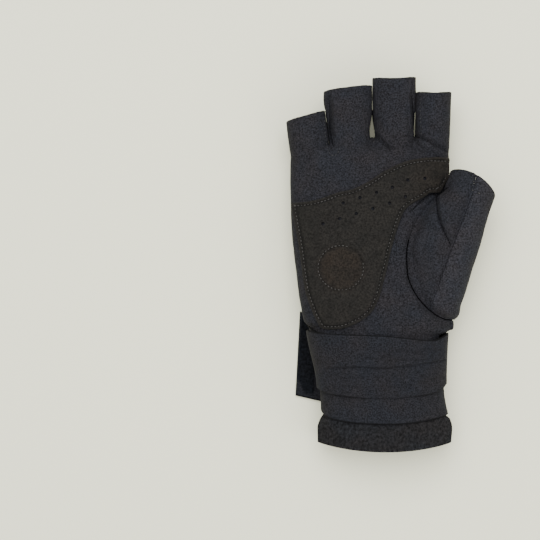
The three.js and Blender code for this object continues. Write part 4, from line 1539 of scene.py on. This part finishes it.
def stitch_nodes(material):
    """Node group that lays a row of stitches along each edge path, facing its attribute up."""
    tree = bpy.data.node_groups.new("stitch_rows", "GeometryNodeTree")
    face = tree.interface
    face.new_socket("Paths", in_out="INPUT", socket_type="NodeSocketGeometry")
    for name in ("Pitch", "Length", "Width", "Height"):
        face.new_socket(name, in_out="INPUT", socket_type="NodeSocketFloat")
    face.new_socket("Seed", in_out="INPUT", socket_type="NodeSocketInt")
    face.new_socket("Stitches", in_out="OUTPUT", socket_type="NodeSocketGeometry")
    given = add_node(tree, "NodeGroupInput").outputs
    curve = add_node(tree, "GeometryNodeMeshToCurve", {"Mesh": given["Paths"]})
    feeds = {"Curve": curve.outputs["Curve"], "Length": given["Pitch"]}
    spaced = add_node(tree, "GeometryNodeResampleCurve", feeds, mode="LENGTH")
    feeds = {"Segments": 8, "Rings": 5, "Radius": 0.5}
    stitch = add_node(tree, "GeometryNodeMeshUVSphere", feeds)
    feeds = {"Vector": add_node(tree, "GeometryNodeInputTangent").outputs["Tangent"]}
    along = add_node(tree, "FunctionNodeAlignRotationToVector", feeds, axis="X")
    up = add_node(
        tree, "GeometryNodeInputNamedAttribute", {"Name": "up"}, data_type="FLOAT_VECTOR"
    )
    feeds = {"Rotation": along.outputs["Rotation"], "Vector": up.outputs["Attribute"]}
    upright = add_node(
        tree, "FunctionNodeAlignRotationToVector", feeds, axis="Z", pivot_axis="X"
    )
    feeds = {"X": given["Length"], "Y": given["Width"], "Z": given["Height"]}
    size = add_node(tree, "ShaderNodeCombineXYZ", feeds)
    feeds = {2: 0.7, 3: 1.15, "Seed": given["Seed"]}
    varied = add_node(tree, "FunctionNodeRandomValue", feeds, data_type="FLOAT")
    feeds = {0: size.outputs["Vector"], "Scale": varied.outputs[1]}
    scaled = add_node(tree, "ShaderNodeVectorMath", feeds, operation="SCALE")
    placed = add_node(tree, "GeometryNodeInstanceOnPoints", {
        "Points": spaced.outputs["Curve"], "Instance": stitch.outputs["Mesh"],
        "Rotation": upright.outputs["Rotation"], "Scale": scaled.outputs["Vector"],
    })
    feeds = {"Geometry": placed.outputs["Instances"]}
    real = add_node(tree, "GeometryNodeRealizeInstances", feeds)
    feeds = {"Geometry": real.outputs["Geometry"], "Material": material}
    dyed = add_node(tree, "GeometryNodeSetMaterial", feeds)
    add_node(tree, "NodeGroupOutput", {"Stitches": dyed.outputs["Geometry"]})
    return tree


def sewn(name, finish, paths, width, seed):
    """A piece of stitches along paths of places and normals, in the frame."""
    tree = stitch_nodes(finish_named(finish))
    edges, start = [], 0
    for place, _ in paths:
        edges += [(start + i, start + i + 1) for i in range(len(place) - 1)]
        start += len(place)
    places = (np.vstack([place for place, _ in paths]) + SHIFT) * MM
    mesh = bpy.data.meshes.new(name + "_paths")
    mesh.from_pydata(places.tolist(), edges, [])
    mark(mesh, "up", np.vstack([normal for _, normal in paths]), "FLOAT_VECTOR")
    piece = linked(name, mesh)
    modifier = piece.modifiers.new("stitches", "NODES")
    modifier.node_group = tree
    pitch = sizes().stitch_pitch
    values = {
        "Pitch": pitch, "Length": pitch * 0.62, "Width": width, "Height": width * 0.8,
        "Seed": seed,
    }
    for item in tree.interface.items_tree:
        if item.in_out == "INPUT" and item.name in values:
            modifier[item.identifier] = values[item.name]
    seen = piece.evaluated_get(bpy.context.evaluated_depsgraph_get())
    result = bpy.data.meshes.new_from_object(seen)
    piece.modifiers.remove(modifier)
    piece.data = result
    bpy.data.meshes.remove(mesh)
    result.name = name
    if len(result.vertices) == 0:
        raise RuntimeError(name + " came out empty")
    places = spots(result)
    places[:, 2] = np.maximum(places[:, 2], FLOOR_GAP * MM)
    moved(result, places)
    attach(piece, "root")


def on_glove(path, side, lift):
    """Places and normals of a line on the glove's palm (1) or back (-1)."""
    z, n, hits = laid_on(path, side)
    flat = hits & (np.abs(n[:, 2]) > 0.3)
    return (np.column_stack([path, z]) + n * lift)[flat], n[flat]


class GLOVE_OT_stitching(bpy.types.Operator):
    """Rows of stitches round the patch, on it and along hems and crotches"""

    bl_idname = "glove.stitching"
    bl_label = "Stitching"

    def execute(self, context):
        wide = sizes().stitch_width
        surface = PATCH_UNDER + sizes().suede / MM
        around = even(grow_loop(patch_edge(), -STITCH_INSET), 0.8, closed=True)
        sewn_part = around[:, 0] < STITCHED_TO
        first = int(np.argmax(sewn_part & ~np.roll(sewn_part, 1)))
        around = np.roll(around, -first, axis=0)[np.roll(sewn_part, -first)]
        angle = np.radians(np.linspace(75, 370, 90))
        ring = np.stack([np.cos(angle), np.sin(angle)], axis=1)
        ring = RING["centre"] + RING["radius"] * ring
        patch_paths = [
            on_glove(around, 1, surface - 0.3), on_glove(ring, 1, surface - 0.05),
            on_glove(np.array(HEM_TACK), 1, 0.1),
        ]
        sewn("patch_stitches", "patch_thread", patch_paths, wide, 3)
        seam_paths = [
            on_glove(even(whole_spline(line, 8), 0.8), side, 0.05)
            for side, lines in ((1, PALM_LINES), (-1, BACK_LINES)) for line in lines
        ]
        sewn("seam_stitches", "thread", seam_paths, wide * 0.8, 8)
        return {"FINISHED"}


# Width and middle of the photograph's frame where the glove lies, the height of the glove's
# middle, all in millimetres, and the floor's place under the glove in metres
FRAME_WIDTH = 313.2
FRAME_MIDDLE = (-57.9, 34.8)
MIDDLE_HEIGHT = 20.0
UNDER_GLOVE = -0.00005


class GLOVE_OT_stage(bpy.types.Operator):
    """Pale floor, soft studio light and a camera straight above, as in the photograph"""

    bl_idname = "glove.stage"
    bl_label = "Stage"

    def execute(self, context):
        scene = context.scene
        floor = bpy.data.meshes.new("floor")
        bm = bmesh.new()
        bmesh.ops.create_grid(bm, x_segments=4, y_segments=4, size=4.0)
        for vert in bm.verts:
            vert.co.z = UNDER_GLOVE
        bm.to_mesh(floor)
        bm.free()
        material, tree, shader = finish_tree("pale_floor")
        shader.inputs["Base Color"].default_value = (*colour("floor"), 1)
        set_shader(shader, rough=0.9, sheen=0.0, sheen_rough=0.5, gloss=0.1)
        floor.materials.append(material)
        linked("floor", floor)
        world = bpy.data.worlds.new("studio")
        world.use_nodes = True
        background = world.node_tree.nodes["Background"]
        background.inputs["Color"].default_value = (1.0, 0.985, 0.96, 1)
        background.inputs["Strength"].default_value = 1.3
        scene.world = world
        for name, place, size, power in (
            ("overhead", (-0.15, 0.45, 1.25), 1.2, 24.0), ("fill", (0.9, -0.6, 0.9), 1.0, 6.5),
        ):
            lamp = bpy.data.lights.new(name, "AREA")
            lamp.shape = "SQUARE"
            lamp.size = size
            lamp.energy = power
            body = linked(name, lamp)
            body.location = place
            aim = Vector((0.0, 0.0, 0.02)) - body.location
            body.rotation_mode = "QUATERNION"
            body.rotation_quaternion = aim.to_track_quat("-Z", "Y")
        lens = bpy.data.cameras.new("camera")
        lens.lens = 150.0
        lens.sensor_width = 36.0
        camera = linked("camera", lens)
        away = FRAME_WIDTH * lens.lens / lens.sensor_width
        camera.location = (SHIFT * (1, 1, 0) + (*FRAME_MIDDLE, away + MIDDLE_HEIGHT)) * MM
        scene.camera = camera
        return {"FINISHED"}


STEPS = (
    GLOVE_OT_hand_panels, GLOVE_OT_back_netting, GLOVE_OT_palm_patch, GLOVE_OT_knit_cuff,
    GLOVE_OT_wrist_wrap, GLOVE_OT_pull_tabs, GLOVE_OT_stitching, GLOVE_OT_stage,
)


class GLOVE_PT_steps(bpy.types.Panel):
    """Lists the steps that build the glove"""

    bl_idname = "GLOVE_PT_steps"
    bl_label = "Weightlifting glove"
    bl_space_type = "VIEW_3D"
    bl_region_type = "UI"
    bl_category = "Glove"

    def draw(self, context):
        layout = self.layout
        for group in (context.scene.glove_sizes, context.scene.glove_colours):
            column = layout.column(align=True)
            for name in group.bl_rna.properties.keys():
                if name not in ("rna_type", "name"):
                    column.prop(group, name)
        column = layout.column()
        for step in STEPS:
            column.operator(step.bl_idname)


CLASSES = (GloveSizes, GloveColours, *STEPS, GLOVE_PT_steps)


def register():
    for item in CLASSES:
        bpy.utils.register_class(item)
    bpy.types.Scene.glove_sizes = PointerProperty(type=GloveSizes)
    bpy.types.Scene.glove_colours = PointerProperty(type=GloveColours)


def unregister():
    del bpy.types.Scene.glove_colours
    del bpy.types.Scene.glove_sizes
    for item in reversed(CLASSES):
        bpy.utils.unregister_class(item)


def main():
    register()
    for step in STEPS:
        group, action = step.bl_idname.split(".")
        getattr(getattr(bpy.ops, group), action)()


if __name__ == "__main__":
    main()
